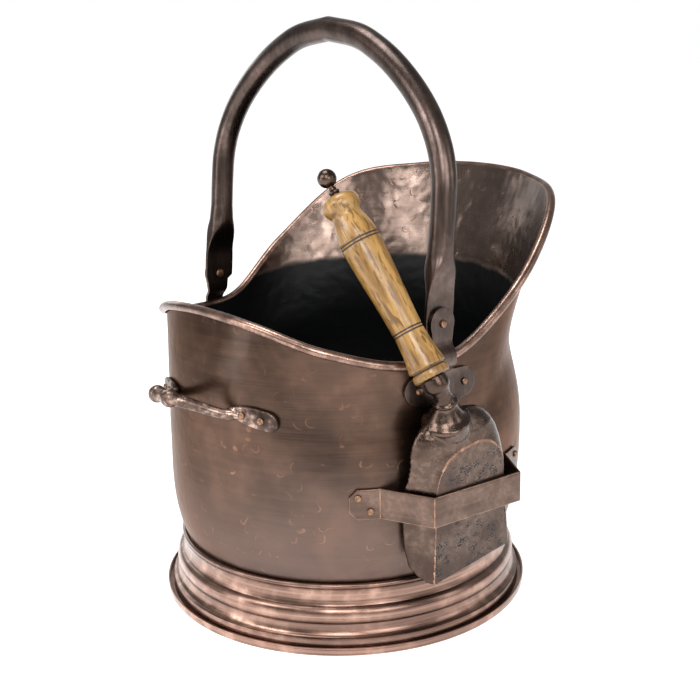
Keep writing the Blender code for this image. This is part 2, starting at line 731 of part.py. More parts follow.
def build_bail(hinge):
    """The pipe bail: a round bow whose legs fade into flat drilled blades."""
    tube = BAIL_TUBE_RADIUS
    blade_middle = HINGE_SPREAD - SEAT_GAP / 2 - BLADE_THICKNESS / 2
    fade_top = BLADE_RISE + BLADE_FADE
    legs = [BLADE_END * share for share in BLADE_END_SHARES]
    legs += [BLADE_RISE * share for share in BLADE_LEG_SHARES]
    legs += [BLADE_RISE + BLADE_FADE * share for share in BLADE_FADE_SHARES]
    stations = []
    for height in legs:
        fade = smooth_step((height - BLADE_RISE) / BLADE_FADE)
        clip = max(0.0, -height / BLADE_END)
        wide = BLADE_WIDTH / 2 + (tube - BLADE_WIDTH / 2) * fade - BLADE_CORNER * clip
        thick = BLADE_THICKNESS / 2 + (tube - BLADE_THICKNESS / 2) * fade
        spread = blade_middle + (BAIL_LEG_SPREAD - blade_middle) * fade
        power = ROUND_POWER + BLADE_SQUARENESS * (1 - fade)
        stations.append((spread, height, wide, thick, power))
    first = fade_top / BAIL_RISE
    for step in range(1, BAIL_STEPS + 1):
        share = step / BAIL_STEPS
        rise = smooth_table(BAIL_RISE_SHARES, share, False)
        spread = smooth_table(BAIL_SPREAD_SHARES, share, False)
        if rise > first:
            stations.append((BAIL_LEG_SPREAD * spread, BAIL_RISE * rise, tube, tube, ROUND_POWER))
    mirrored = [(-spread, *rest) for spread, *rest in stations[-2::-1]]
    stations += mirrored
    rings = []
    for index, (spread, height, wide, thick, power) in enumerate(stations):
        before = stations[max(index - 1, 0)]
        after = stations[min(index + 1, len(stations) - 1)]
        along = Vector((0, after[0] - before[0], after[1] - before[1])).normalized()
        if height < BLADE_RISE:
            along = Vector((0, 0, math.copysign(1, spread)))
        out = along.cross(X_AXIS)
        centre = Vector((0, spread, height))
        shape = squared_ring(BAIL_SIDES, power, 0)
        rings.append([centre + X_AXIS * wide * fore + out * thick * push for fore, push in shape])
    bm = bmesh.new()
    loft(bm, rings, around=True, capped=True)
    bail = place("bail_handle", mesh_of(bm, "bail_handle"), "dark bronze", hinge)
    holes = [(Vector((0, side * HINGE_SPREAD, 0)), Y_AXIS) for side in (-1, 1)]
    cut_holes("bail_holes", bail, holes, PIVOT_SHANK, hinge)
    bm = bmesh.new()
    for side in (-1, 1):
        skin = Vector((0, side * (BAIL_LEG_SPREAD - tube), VENT_HEIGHT))
        add_cylinder(bm, skin, Y_AXIS, VENT_RADIUS, 2 * VENT_DEPTH, RIVET_SIDES)
    boolean(bail, helper("bail_vents", mesh_of(bm, "bail_vents"), hinge))


def build_pivots(ears):
    """The rivets that the bail turns on, through each ear and blade."""
    grip = SEAT_GAP + EAR_THICKNESS + SEAT_GAP + BLADE_THICKNESS + SEAT_GAP
    outside = HINGE_SPREAD + SEAT_GAP / 2 + EAR_THICKNESS + SEAT_GAP
    sizes = (PIVOT_HEAD, PIVOT_RISE, PIVOT_SHANK, PIVOT_INNER_HEAD, PIVOT_INNER_RISE)
    for ear, side, label in zip(ears, (-1, 1), ("near", "far")):
        seat = Vector((-HINGE_SETBACK, side * outside, HINGE_HEIGHT))
        axis = Y_AXIS * side
        build_rivet(f"bail_pivot_{label}", seat, axis, grip, sizes, "rivet copper")
        cut_holes(f"pivot_hole_{label}", ear, [(seat, axis)], PIVOT_SHANK)


def lug_outline():
    """Outline of a tipping handle's lug laid flat, round at both ends."""
    reach = TIP_LUG_LENGTH / 2 - TIP_LUG_HALF
    right = math.pi / 2
    outline = arc_points((reach, 0), TIP_LUG_HALF, -right, right, EAR_ARC_STEPS)
    return outline + arc_points((-reach, 0), TIP_LUG_HALF, right, 3 * right, EAR_ARC_STEPS)


def build_lug(name, side):
    """One lug of the tipping handle, bent to the body."""
    bm = bmesh.new()
    face = bm.faces.new([bm.verts.new((across, 0, height)) for across, height in lug_outline()])
    pushed = bmesh.ops.extrude_face_region(bm, geom=[face])["geom"]
    raised = [item for item in pushed if isinstance(item, bmesh.types.BMVert)]
    bmesh.ops.translate(bm, verts=raised, vec=(0, TIP_LUG_THICKNESS, 0))
    for share in TIP_LUG_COLUMN_SHARES:
        everything = bm.verts[:] + bm.edges[:] + bm.faces[:]
        point = Vector((TIP_LUG_LENGTH * share, 0, 0))
        bmesh.ops.bisect_plane(bm, geom=everything, dist=MERGE_DISTANCE, plane_co=point, plane_no=X_AXIS)
    bmesh.ops.triangulate(bm, faces=bm.faces)
    azimuth = math.pi - TIP_LUG_TURN
    for vert in bm.verts:
        drop = TIP_LUG_FALL * vert.co.x / TIP_LUG_LENGTH
        height = TIP_LUG_HEIGHT - drop + vert.co.z
        bent = on_body(azimuth, -vert.co.x, height, SEAT_GAP + vert.co.y)
        vert.co = (bent.x, bent.y * side, bent.z)
    return mesh_of(bm, name)


def bow_places():
    """Places along half of the tipping handle's bow, from its neck out to its middle, and radii."""
    neck = on_body(math.pi - TIP_NECK_TURN, 0, TIP_LUG_HEIGHT, SEAT_GAP)
    places = []
    for out, spread, rise, radius in zip(
        TIP_BOW_OUT_SHARES, TIP_BOW_SPREAD_SHARES, TIP_BOW_RISE_SHARES, TIP_RADIUS_SHARES
    ):
        reach = neck.x - TIP_BOW_STAND * out
        height = TIP_LUG_HEIGHT + TIP_BOW_RISE * rise
        thick = TIP_NECK_RADIUS + (TIP_BOW_RADIUS - TIP_NECK_RADIUS) * radius
        places.append((Vector((reach, neck.y * spread, height)), thick))
    return places


def build_tipping_handle():
    """The cast tipping handle: a knuckled bow joined to its two lugs."""
    half = bow_places()
    mirrored = [(Vector((point.x, -point.y, point.z)), thick) for point, thick in half[-2::-1]]
    places = half + mirrored
    path = smooth_path([point for point, _ in places], TIP_BOW_STEPS)
    thickness = [thick for _, thick in places]
    curve = bpy.data.curves.new("tipping_bow", "CURVE")
    curve.dimensions = "3D"
    curve.use_fill_caps = True
    curve.bevel_depth = TIP_BOW_RADIUS
    curve.bevel_resolution = 2
    spline = curve.splines.new("POLY")
    spline.points.add(len(path) - 1)
    for index, point in enumerate(path):
        spline.points[index].co = (*point, 1)
        share = index / (len(path) - 1)
        spline.points[index].radius = smooth_table(thickness, share, False) / TIP_BOW_RADIUS
    bow = bpy.data.objects.new("tipping_bow", curve)
    CUTTERS.objects.link(bow)
    bpy.context.view_layer.update()
    mesh = bpy.data.meshes.new_from_object(bow.evaluated_get(bpy.context.evaluated_depsgraph_get()))
    bpy.data.objects.remove(bow, do_unlink=True)
    bm = bmesh.new()
    bm.from_mesh(mesh)
    bmesh.ops.remove_doubles(bm, verts=bm.verts, dist=MERGE_DISTANCE)
    handle = place("tipping_handle", mesh_of(bm, "tipping_handle"), "cast copper")
    for label, side in (("near", -1), ("far", 1)):
        boolean(handle, helper(f"tipping_lug_{label}", build_lug(f"tipping_lug_{label}", side)), "UNION")
        middle = places[TIP_GRIP_INDEX][0]
        knuckle = Vector((middle.x, side * TIP_KNUCKLE_SPREAD, middle.z))
        lump = knuckle + Vector((TIP_LUMP_RADIUS, 0, -TIP_LUMP_DROP))
        balls = (("knuckle", knuckle, TIP_KNUCKLE_RADIUS), ("lump", lump, TIP_LUMP_RADIUS))
        for part, centre, radius in balls:
            bm = bmesh.new()
            bmesh.ops.create_uvsphere(
                bm,
                u_segments=TIP_BALL_SEGMENTS,
                v_segments=TIP_BALL_RINGS,
                radius=radius,
                matrix=Matrix.Translation(centre),
            )
            name = f"tipping_{part}_{label}"
            boolean(handle, helper(name, mesh_of(bm, name)), "UNION")
    holes = []
    for label, side in (("near", -1), ("far", 1)):
        azimuth = (math.pi - TIP_LUG_TURN) * side
        for end, place_in in (("front", TIP_RIVET_SPREAD), ("rear", -TIP_RIVET_SPREAD)):
            arc = -place_in / 2 * side
            height = TIP_LUG_HEIGHT - TIP_LUG_FALL * place_in / 2 / TIP_LUG_LENGTH
            name = f"tipping_rivet_{label}_{end}"
            holes.append(body_rivet(name, azimuth, arc, height, TIP_LUG_THICKNESS))
    cut_holes("tipping_holes", handle, holes, RIVET_SHANK)
    return holes


def pocket_point(across, out):
    """Plan place by distance across the pocket and distance out from the bucket's axis."""
    outward = around(1, POCKET_AZIMUTH, 0)
    sideways = around(1, POCKET_AZIMUTH + math.pi / 2, 0)
    return outward * out + sideways * across


def pocket_reach():
    """Distance from the bucket's axis to the front of the pocket, with room for the shovel behind."""
    return BELLY_RADIUS + POCKET_BACK_CLEARANCE + PAN_DEPTH


def pocket_path():
    """Inner face of the pocket strap in plan, from one tab's end to the other's."""
    middle = (POCKET_LOW + POCKET_HIGH) / 2
    inner = pocket_reach() - POCKET_SHEET
    halves = []
    for side in (-1, 1):
        half = []
        for step in range(POCKET_TAB_STEPS + 1):
            turn = POCKET_BEND_TURN + POCKET_TAB_TURN * (1 - step / POCKET_TAB_STEPS)
            azimuth = POCKET_AZIMUTH + side * turn
            half.append(around(body_outside(azimuth, middle) + POCKET_TAB_GAP, azimuth, 0))
        half.append(pocket_point(side * (PAN_TIP_HALF + POCKET_SIDE_CLEARANCE), inner))
        halves.append(half)
    return halves[0] + halves[1][::-1]


def build_pocket():
    """The bent strap that holds the shovel, with clipped tabs riveted to the body."""
    path = pocket_path()
    bm = bmesh.new()
    edges = [[point + Z_AXIS * level for point in path] for level in (POCKET_LOW, POCKET_HIGH)]
    loft(bm, edges, around=False, capped=False)
    for face in bm.faces:
        middle = face.calc_center_median()
        if face.normal.dot(Vector((middle.x, middle.y, 0))) < 0:
            face.normal_flip()
    mesh = bpy.data.meshes.new("shovel_pocket")
    bm.to_mesh(mesh)
    bm.free()
    pocket = place("shovel_pocket", mesh, "dark bronze")
    solidify(pocket, POCKET_SHEET, 1.0)
    clips = bmesh.new()
    size = POCKET_CLIP * math.sqrt(2)
    for end in (path[0], path[-1]):
        for level in (POCKET_LOW, POCKET_HIGH):
            turn = Matrix.Rotation(math.atan2(end.y, end.x), 4, "Z")
            turn = turn @ Matrix.Rotation(math.pi / 4, 4, "X")
            spot = Matrix.Translation(end + Z_AXIS * level)
            size_of = Matrix.Diagonal((HOLE_CUT_LENGTH, size, size, 1))
            bmesh.ops.create_cube(clips, size=1, matrix=spot @ turn @ size_of)
    boolean(pocket, helper("pocket_clips", mesh_of(clips, "pocket_clips")))
    holes = []
    for label, side in (("rear", -1), ("front", 1)):
        spots = zip(("low", "high"), POCKET_RIVET_TURN_SHARES, POCKET_RIVET_HEIGHT_SHARES)
        for end, along, up in spots:
            turn = POCKET_BEND_TURN + POCKET_TAB_TURN * along
            level = POCKET_LOW + (POCKET_HIGH - POCKET_LOW) * up
            plate = POCKET_SHEET + SEAT_GAP
            name = f"pocket_rivet_{label}_{end}"
            holes.append(body_rivet(name, POCKET_AZIMUTH + side * turn, 0, level, plate))
    cut_holes("pocket_holes", pocket, holes, RIVET_SHANK)
    return holes


def shovel_axes():
    """World directions across the shovel, along it and out through its flat face."""
    outward = around(1, POCKET_AZIMUTH, 0)
    sideways = around(1, POCKET_AZIMUTH + math.pi / 2, 0)
    upright = Z_AXIS * math.cos(SHOVEL_ROLL) - sideways * math.sin(SHOVEL_ROLL)
    across = sideways * math.cos(SHOVEL_ROLL) + Z_AXIS * math.sin(SHOVEL_ROLL)
    along = upright * math.cos(SHOVEL_LEAN) + outward * math.sin(SHOVEL_LEAN)
    out = outward * math.cos(SHOVEL_LEAN) - upright * math.sin(SHOVEL_LEAN)
    return across, along, out


def shovel_frame():
    """World matrix of the shovel: its flat face lies in the pocket, one gap inside the strap."""
    across, along, out = shovel_axes()
    rise = (POCKET_HIGH - SHOVEL_TIP_HEIGHT) / along.z
    side = (PAN_TIP_HALF - PAN_TAPER * rise) * abs(across.z)
    rise += side / along.z
    inner = pocket_reach() - POCKET_SHEET - SEAT_GAP
    tip = pocket_point(SHOVEL_TIP_ACROSS, inner - rise * along.dot(around(1, POCKET_AZIMUTH, 0)))
    tip.z = SHOVEL_TIP_HEIGHT
    turn = Matrix((across, along, out)).transposed().to_4x4()
    return Matrix.Translation(tip) @ turn


def pan_ring(share, inset, deeper):
    """A ring of the pan's loaf at a share of its length, moved in by a wall if asked."""
    along = PAN_LENGTH * share
    flat = PAN_TIP_HALF - PAN_TAPER * along
    flare = PAN_FLARE_LOW + (PAN_FLARE_HIGH - PAN_FLARE_LOW) * smooth_step(share)
    depth = PAN_DEPTH * at_share(PAN_ALONG_SHARES, PAN_DEPTH_SHARES, share)
    width = at_share(PAN_ALONG_SHARES, PAN_WIDTH_SHARES, share)
    crown = PAN_CROWN * at_share(PAN_ALONG_SHARES, PAN_CROWN_SHARES, share)
    square = at_share(PAN_ALONG_SHARES, PAN_SQUARE_SHARES, share)
    power = PAN_ROUND_POWER + (PAN_SQUARE_POWER - PAN_ROUND_POWER) * square
    top = min(crown, 0) - inset if inset else crown
    bottom = -depth - deeper
    points = []
    for across, up in squared_ring(PAN_SIDES, power, 0.5):
        level = (top + bottom) / 2 + up * (top - bottom) / 2
        half = (flat - flare * level) * width - inset
        points.append(Vector((across * half, along, level)))
    return points


def build_pan_void():
    """The hollow of the pan, open towards the bucket and over the cutting edge."""
    stop = 1 - PAN_HEEL_THICKNESS / PAN_LENGTH
    shares = [share for share in PAN_ALONG_SHARES if share < stop] + [stop]
    rings = [pan_ring(share, PAN_WALL, CUT_OVERRUN) for share in shares]
    first = [point - Vector((0, CUT_OVERRUN, 0)) for point in rings[0]]
    bm = bmesh.new()
    loft(bm, [first, *rings], around=True, capped=True)
    return mesh_of(bm, "pan_void")


def socket_rings():
    """Rings of the cast socket: a bell on the pan's heel, a ringed neck and a collar."""
    rings = []
    for share, size in zip(SOCKET_TURN_SHARES, SOCKET_RADIUS_SHARES):
        centre = smooth_point(SOCKET_PLACES, share)
        ahead = smooth_point(SOCKET_PLACES, share + SOCKET_STEP_SHARE)
        behind = smooth_point(SOCKET_PLACES, share - SOCKET_STEP_SHARE)
        along = (ahead - behind).normalized() if share < 1 else handle_direction()
        radius = SOCKET_NECK_RADIUS + (SOCKET_BELL_RADIUS - SOCKET_NECK_RADIUS) * size
        side = along.cross(X_AXIS).normalized()
        front = side.cross(along)
        turns = [math.tau * index / SOCKET_SIDES for index in range(SOCKET_SIDES)]
        rings.append(
            [centre + front * radius * math.cos(turn) + side * radius * math.sin(turn) for turn in turns]
        )
    return rings


def handle_direction():
    """Direction of the grip in the shovel's frame."""
    return (Vector(GRIP_END) - Vector(SOCKET_PLACES[-1])).normalized()


def build_shovel(carrier):
    """The cast shovel head, its wooden grip, the rod through it and the ball on its end."""
    bm = bmesh.new()
    loft(bm, [pan_ring(share, 0, 0) for share in PAN_ALONG_SHARES], around=True, capped=True)
    head = place("shovel_head", mesh_of(bm, "shovel_head"), "cast copper", carrier)
    bm = bmesh.new()
    loft(bm, socket_rings(), around=True, capped=True)
    boolean(head, helper("shovel_socket", mesh_of(bm, "shovel_socket"), carrier), "UNION")
    bm = bmesh.new()
    thick = 2 * PAN_CROWN
    reach = SOCKET_PLACES[0][1]
    size = Matrix.Diagonal((4 * PAN_TIP_HALF, reach + CUT_OVERRUN, thick, 1))
    centre = Matrix.Translation((0, (reach - CUT_OVERRUN) / 2, thick / 2))
    bmesh.ops.create_cube(bm, size=1, matrix=centre @ size)
    boolean(head, helper("pan_face", mesh_of(bm, "pan_face"), carrier))
    boolean(head, helper("pan_void", build_pan_void(), carrier))
    seat = Vector(SOCKET_PLACES[-1])
    axis = handle_direction()
    bm = bmesh.new()
    bore = ROD_RADIUS + SEAT_GAP
    add_cylinder(bm, seat, axis, bore, 2 * (ROD_SOCKET_DEPTH + SEAT_GAP), RIVET_SIDES)
    boolean(head, helper("rod_socket", mesh_of(bm, "rod_socket"), carrier))

    shank = bpy.data.objects.new("grip_axis", None)
    PARTS.objects.link(shank)
    shank.parent = carrier
    shank.location = seat
    shank.rotation_mode = "QUATERNION"
    shank.rotation_quaternion = Z_AXIS.rotation_difference(axis)
    outline = [
        (GRIP_RADIUS * radius, SEAT_GAP + GRIP_LENGTH * along)
        for along, radius in zip(GRIP_ALONG_SHARES[::-1], GRIP_RADIUS_SHARES[::-1])
    ]
    outline += [(bore, SEAT_GAP), (bore, SEAT_GAP + GRIP_LENGTH)]
    place("wooden_grip", turned("wooden_grip", outline, GRIP_SEGMENTS, True), "waxed wood", shank)
    top = SEAT_GAP + GRIP_LENGTH
    rod_end = top + SEAT_GAP + ROD_FINIAL_DEPTH
    rod = [(0, rod_end), (ROD_RADIUS, rod_end), (ROD_RADIUS, -ROD_SOCKET_DEPTH), (0, -ROD_SOCKET_DEPTH)]
    place("handle_rod", turned("handle_rod", rod, RIVET_SIDES, False), "steel", shank)
    foot = top + SEAT_GAP
    ball_height = foot + FINIAL_STEM_LENGTH + FINIAL_BALL_RADIUS
    joint = math.asin(FINIAL_STEM_RADIUS / 2 / FINIAL_BALL_RADIUS)
    top_turn = math.pi / 2
    low_turn = joint - math.pi / 2
    ball = (0, ball_height)
    finial = arc_points(ball, FINIAL_BALL_RADIUS, top_turn, low_turn, FINIAL_BALL_STEPS)
    finial[0] = (0, ball_height + FINIAL_BALL_RADIUS)
    finial += [
        (FINIAL_STEM_RADIUS / 2, foot + FINIAL_STEM_LENGTH),
        (FINIAL_STEM_RADIUS, foot + FINIAL_STEM_LENGTH / 2),
        (FINIAL_STEM_RADIUS * 1.5, foot),
        (bore, foot),
        (bore, foot + ROD_FINIAL_DEPTH + SEAT_GAP),
        (0, foot + ROD_FINIAL_DEPTH + SEAT_GAP),
    ]
    place("handle_finial", turned("handle_finial", finial, FINIAL_SEGMENTS, False), "cast copper", shank)


clear_scene()
PARTS = collection("coal_bucket")
CUTTERS = collection("coal_bucket_cutters")

body = build_body()
build_rim_wire()
build_bottom()
build_foot_ring()

ear_near, holes_near = build_ear("ear_near", -1)
ear_far, holes_far = build_ear("ear_far", 1)
bail_axis = bpy.data.objects.new("bail_axis", None)
bail_axis.location = (-HINGE_SETBACK, 0, HINGE_HEIGHT)
bail_axis.rotation_euler = (0, BAIL_TILT, 0)
PARTS.objects.link(bail_axis)
build_bail(bail_axis)
build_pivots((ear_near, ear_far))

tipping_holes = build_tipping_handle()
pocket_holes = build_pocket()
cut_holes("body_holes", body, holes_near + holes_far + tipping_holes + pocket_holes, RIVET_SHANK)

shovel_axis = bpy.data.objects.new("shovel_slide", None)
shovel_axis.matrix_world = shovel_frame()
PARTS.objects.link(shovel_axis)
build_shovel(shovel_axis)
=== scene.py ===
"""Looks of a helmet coal bucket: hammered copper body, spun foot, pipe bail and a coal shovel.

Every piece is in metres in the part's own frame: +Z up, the pouring hood at +X, the bail's axis
along Y, the shovel on the -Y side and the tipping handle at -X.
"""

import logging
import math
from dataclasses import dataclass, field
from enum import Enum
from typing import Callable, Optional, Sequence, Union

import bpy
from mathutils import Matrix, Vector


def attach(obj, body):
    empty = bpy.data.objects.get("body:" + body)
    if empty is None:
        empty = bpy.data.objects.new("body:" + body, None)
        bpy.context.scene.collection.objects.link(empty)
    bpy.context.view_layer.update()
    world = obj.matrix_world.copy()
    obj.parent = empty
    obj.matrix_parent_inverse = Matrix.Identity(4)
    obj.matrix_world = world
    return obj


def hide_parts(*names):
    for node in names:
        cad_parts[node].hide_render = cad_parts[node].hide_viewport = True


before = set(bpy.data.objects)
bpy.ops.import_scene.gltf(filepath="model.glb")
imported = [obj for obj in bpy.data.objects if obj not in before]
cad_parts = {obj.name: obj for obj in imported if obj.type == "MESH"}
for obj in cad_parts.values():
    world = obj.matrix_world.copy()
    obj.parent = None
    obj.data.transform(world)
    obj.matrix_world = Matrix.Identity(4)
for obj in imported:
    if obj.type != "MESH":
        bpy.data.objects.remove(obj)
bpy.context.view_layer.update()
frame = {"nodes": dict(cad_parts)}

LOG = logging.getLogger("coal_bucket")
Piece = bpy.types.Object
Node = bpy.types.Node
NodeTree = bpy.types.NodeTree
Socket = bpy.types.NodeSocket
Point = tuple[float, float]
Spot = tuple[float, float, float]
Colour = tuple[float, float, float]
Shares = tuple[float, ...]
Place = Callable[[float, float], Vector]
Feed = Union[float, Sequence[float], Socket]

X_AXIS = Vector((1, 0, 0))
Y_AXIS = Vector((0, 1, 0))
Z_AXIS = Vector((0, 0, 1))
HAIR = 1e-6


class Side(Enum):
    """A side of the bucket, its value the sign of Y there."""

    NEAR = -1
    FAR = 1


class Rider(Enum):
    """The rigid bodies that pieces ride on."""

    BUCKET = "bucket"
    BAIL = "bail"
    SHOVEL = "shovel"


def ease(share: float) -> float:
    """Ease from nought to one."""
    share = min(max(share, 0.0), 1.0)
    return share * share * (3 - 2 * share)


def smooth_value(values: Sequence[float], share: float, mirrored: bool = True) -> float:
    """Read a smooth curve through evenly spaced values.

    Args:
        values: Values at even steps.
        share: Place along them, from nought to one.
        mirrored: Whether the curve goes on as its own mirror image past each end.

    Returns:
        The value at that place.
    """
    last = len(values) - 1
    place_in = min(max(share, 0.0), 1.0) * last
    index = min(int(place_in), last - 1)
    ahead = place_in - index
    start, stop = values[index], values[index + 1]
    if index:
        before = values[index - 1]
    else:
        before = values[1] if mirrored else 2 * start - stop
    if index + 2 <= last:
        beyond = values[index + 2]
    else:
        beyond = values[last - 1] if mirrored else 2 * stop - start
    slope_in, slope_out, rise = (stop - before) / 2, (beyond - start) / 2, stop - start
    curve = 3 * rise - 2 * slope_in - slope_out
    bend = slope_in + slope_out - 2 * rise
    return start + ahead * (slope_in + ahead * (curve + ahead * bend))


def smooth_point(points: Sequence[Sequence[float]], share: float) -> Vector:
    """Read a smooth path through points."""
    return Vector([smooth_value([point[axis] for point in points], share, False) for axis in range(3)])


def at_share(shares: Sequence[float], values: Sequence[float], share: float) -> float:
    """Read values given at uneven shares of a length, on straight lines between them.

    Args:
        shares: Where the values stand, rising.
        values: The values.
        share: Where to read.

    Returns:
        The value there.
    """
    for low, high, start, stop in zip(shares, shares[1:], values, values[1:]):
        if share <= high:
            return start + (stop - start) * (share - low) / (high - low)
    return values[-1]


def around(radius: float, azimuth: float, height: float) -> Vector:
    """Give the point at a radius, an azimuth and a height."""
    return Vector((radius * math.cos(azimuth), radius * math.sin(azimuth), height))


def arc(centre: Point, radius: float, start: float, stop: float, steps: int) -> list[Point]:
    """Give points on an arc of a plane outline."""
    turns = [start + (stop - start) * step / steps for step in range(steps + 1)]
    return [(centre[0] + radius * math.cos(turn), centre[1] + radius * math.sin(turn)) for turn in turns]


def power_ring(sides: int, wide: float, thick: float, power: float) -> list[Point]:
    """Give a ring between an ellipse and a rounded box.

    Args:
        sides: How many points it has.
        wide: Its half width.
        thick: Its half thickness.
        power: Two for an ellipse, and more for squarer corners.

    Returns:
        The points.
    """
    ring = []
    for side in range(sides):
        turn = math.tau * (side + 0.5) / sides
        cos, sin = math.cos(turn), math.sin(turn)
        fore = math.copysign(abs(cos) ** (2 / power), cos)
        push = math.copysign(abs(sin) ** (2 / power), sin)
        ring.append((wide * fore, thick * push))
    return ring


class Bench:
    """The steps that pieces are modelled with."""

    @staticmethod
    def clear() -> None:
        """Leave edit mode and select nothing."""
        if bpy.context.object and bpy.context.object.mode != "OBJECT":
            bpy.ops.object.mode_set(mode="OBJECT")
        bpy.ops.object.select_all(action="DESELECT")

    @staticmethod
    def take(piece: Piece) -> None:
        """Select one piece alone.

        Args:
            piece: The piece.
        """
        Bench.clear()
        piece.select_set(True)
        bpy.context.view_layer.objects.active = piece

    @staticmethod
    def named(name: str) -> Piece:
        """Name the primitive that was just added.

        Args:
            name: Its name.

        Returns:
            The piece.
        """
        piece = bpy.context.object
        piece.name = name
        piece.data.name = name
        return piece

    @staticmethod
    def edit(piece: Piece) -> None:
        """Open a piece in edit mode with all of it selected.

        Args:
            piece: The piece.
        """
        Bench.take(piece)
        bpy.ops.object.mode_set(mode="EDIT")
        bpy.ops.mesh.select_all(action="SELECT")

    @staticmethod
    def close() -> None:
        """Leave edit mode."""
        bpy.ops.object.mode_set(mode="OBJECT")

    @staticmethod
    def modify(piece: Piece, kind: str, **settings: object) -> None:
        """Add a modifier and apply it.

        Args:
            piece: The piece.
            kind: The modifier's type.
            settings: The modifier's settings.
        """
        Bench.take(piece)
        modifier = piece.modifiers.new(kind.lower(), kind)
        for key, value in settings.items():
            setattr(modifier, key, value)
        bpy.ops.object.modifier_apply(modifier=modifier.name)

    @staticmethod
    def bevel(piece: Piece, width: float, angle: float, slot: int = -1) -> None:
        """Round a piece's edges."""
        limit = math.radians(angle)
        Bench.modify(piece, "BEVEL", width=width, segments=2, limit_method="ANGLE", angle_limit=limit, material=slot)

    @staticmethod
    def smooth(piece: Piece, angle: float) -> None:
        """Shade a piece smooth, save at edges over an angle in degrees."""
        Bench.take(piece)
        bpy.ops.object.shade_smooth_by_angle(angle=math.radians(angle))

    @staticmethod
    def close_up() -> None:
        """Merge the doubled points of the piece in edit mode, turn its faces outwards and leave it."""
        bpy.ops.mesh.select_all(action="SELECT")
        bpy.ops.mesh.remove_doubles(threshold=HAIR)
        bpy.ops.mesh.normals_make_consistent(inside=False)
        Bench.close()

    @staticmethod
    def face_out(piece: Piece) -> None:
        """Turn a sheet's faces away from the bucket's axis, going by its first face.

        Args:
            piece: The sheet.
        """
        face = piece.data.polygons[0]
        if face.normal.dot(Vector((face.center.x, face.center.y, 0))) < 0:
            Bench.edit(piece)
            bpy.ops.mesh.flip_normals()
            Bench.close()

    @staticmethod
    def sheet(name: str, columns: int, rows: int, place: Place) -> Piece:
        """Add a grid and bend it to a form.

        Args:
            name: The piece's name.
            columns: Faces along the first way.
            rows: Faces along the second.
            place: Gives the place of a point from its two shares of the grid.

        Returns:
            The piece, its seam merged.
        """
        Bench.clear()
        bpy.ops.mesh.primitive_grid_add(x_subdivisions=columns, y_subdivisions=rows, size=1)
        piece = Bench.named(name)
        for vert in piece.data.vertices:
            vert.co = place(vert.co.x + 0.5, vert.co.y + 0.5)
        Bench.edit(piece)
        bpy.ops.mesh.remove_doubles(threshold=HAIR)
        Bench.close()
        return piece

    @staticmethod
    def tube(name: str, sides: int, rings: int, place: Place) -> Piece:
        """Add a closed tube whose sections change along it.

        Args:
            name: The piece's name.
            sides: Points around it.
            rings: Steps along it.
            place: Gives a point from its share around and its share along.

        Returns:
            The piece, capped at both ends.
        """
        piece = Bench.sheet(name, sides, rings, place)
        Bench.edit(piece)
        bpy.ops.mesh.fill_holes(sides=0)
        bpy.ops.mesh.normals_make_consistent(inside=False)
        Bench.close()
        return piece

    @staticmethod
    def turned(name: str, profile: Sequence[Point], steps: int) -> Piece:
        """Turn an outline about Z on the lathe.

        Args:
            name: The piece's name.
            profile: Radius and height of each point of the outline.
            steps: Steps round the axis.

        Returns:
            The piece.
        """
        Bench.clear()
        bpy.ops.mesh.primitive_plane_add(size=0.01)
        piece = Bench.named(name)
        Bench.edit(piece)
        bpy.ops.mesh.merge(type="CENTER")
        bpy.ops.transform.translate(value=(profile[0][0], 0, profile[0][1]))
        for (radius, height), (new_radius, new_height) in zip(profile, profile[1:]):
            step = (new_radius - radius, 0, new_height - height)
            bpy.ops.mesh.extrude_region_move(TRANSFORM_OT_translate={"value": step})
        bpy.ops.mesh.select_all(action="SELECT")
        bpy.ops.mesh.spin(steps=steps, angle=math.tau, center=(0, 0, 0), axis=(0, 0, 1))
        Bench.close_up()
        return piece

    @staticmethod
    def plate(name: str, outline: Sequence[Point], thick: float, lines: Sequence[float]) -> Piece:
        """Cut a flat plate to an outline and score it across, ready to be bent.

        Args:
            name: The piece's name.
            outline: Outline in the plane of X and Z.
            thick: Thickness along Y, from nought.
            lines: Spacing of the scores along X and along Z.

        Returns:
            The plate.
        """
        Bench.clear()
        bpy.ops.mesh.primitive_circle_add(vertices=len(outline), radius=0.01, fill_type="NGON")
        piece = Bench.named(name)
        for vert, (across, height) in zip(piece.data.vertices, outline):
            vert.co = (across, 0, height)
        Bench.edit(piece)
        bpy.ops.mesh.extrude_region_move(TRANSFORM_OT_translate={"value": (0, thick, 0)})
        spans = [(min(p[axis] for p in outline), max(p[axis] for p in outline)) for axis in (0, 1)]
        for axis, normal in ((0, (1, 0, 0)), (1, (0, 0, 1))):
            low, high = spans[axis]
            count = max(1, round((high - low) / lines[axis]))
            for step in range(1, count):
                level = low + (high - low) * step / count
                bpy.ops.mesh.select_all(action="SELECT")
                spot = (level, 0, 0) if axis == 0 else (0, 0, level)
                bpy.ops.mesh.bisect(plane_co=spot, plane_no=normal)
        Bench.close_up()
        return piece

    @staticmethod
    def bend(piece: Piece, place: Callable[[Vector], Vector]) -> None:
        """Bend a plate, and close its mesh up afterwards.

        Args:
            piece: The plate.
            place: Gives where a point of the plate is bent to.
        """
        for vert in piece.data.vertices:
            vert.co = place(vert.co.copy())
        Bench.edit(piece)
        Bench.close_up()

    @staticmethod
    def join(name: str, pieces: Sequence[Piece]) -> Piece:
        """Join pieces into one.

        Args:
            name: The new piece's name.
            pieces: The pieces.

        Returns:
            The new piece.
        """
        Bench.take(pieces[0])
        for piece in pieces[1:]:
            piece.select_set(True)
        bpy.ops.object.join()
        return Bench.named(name)

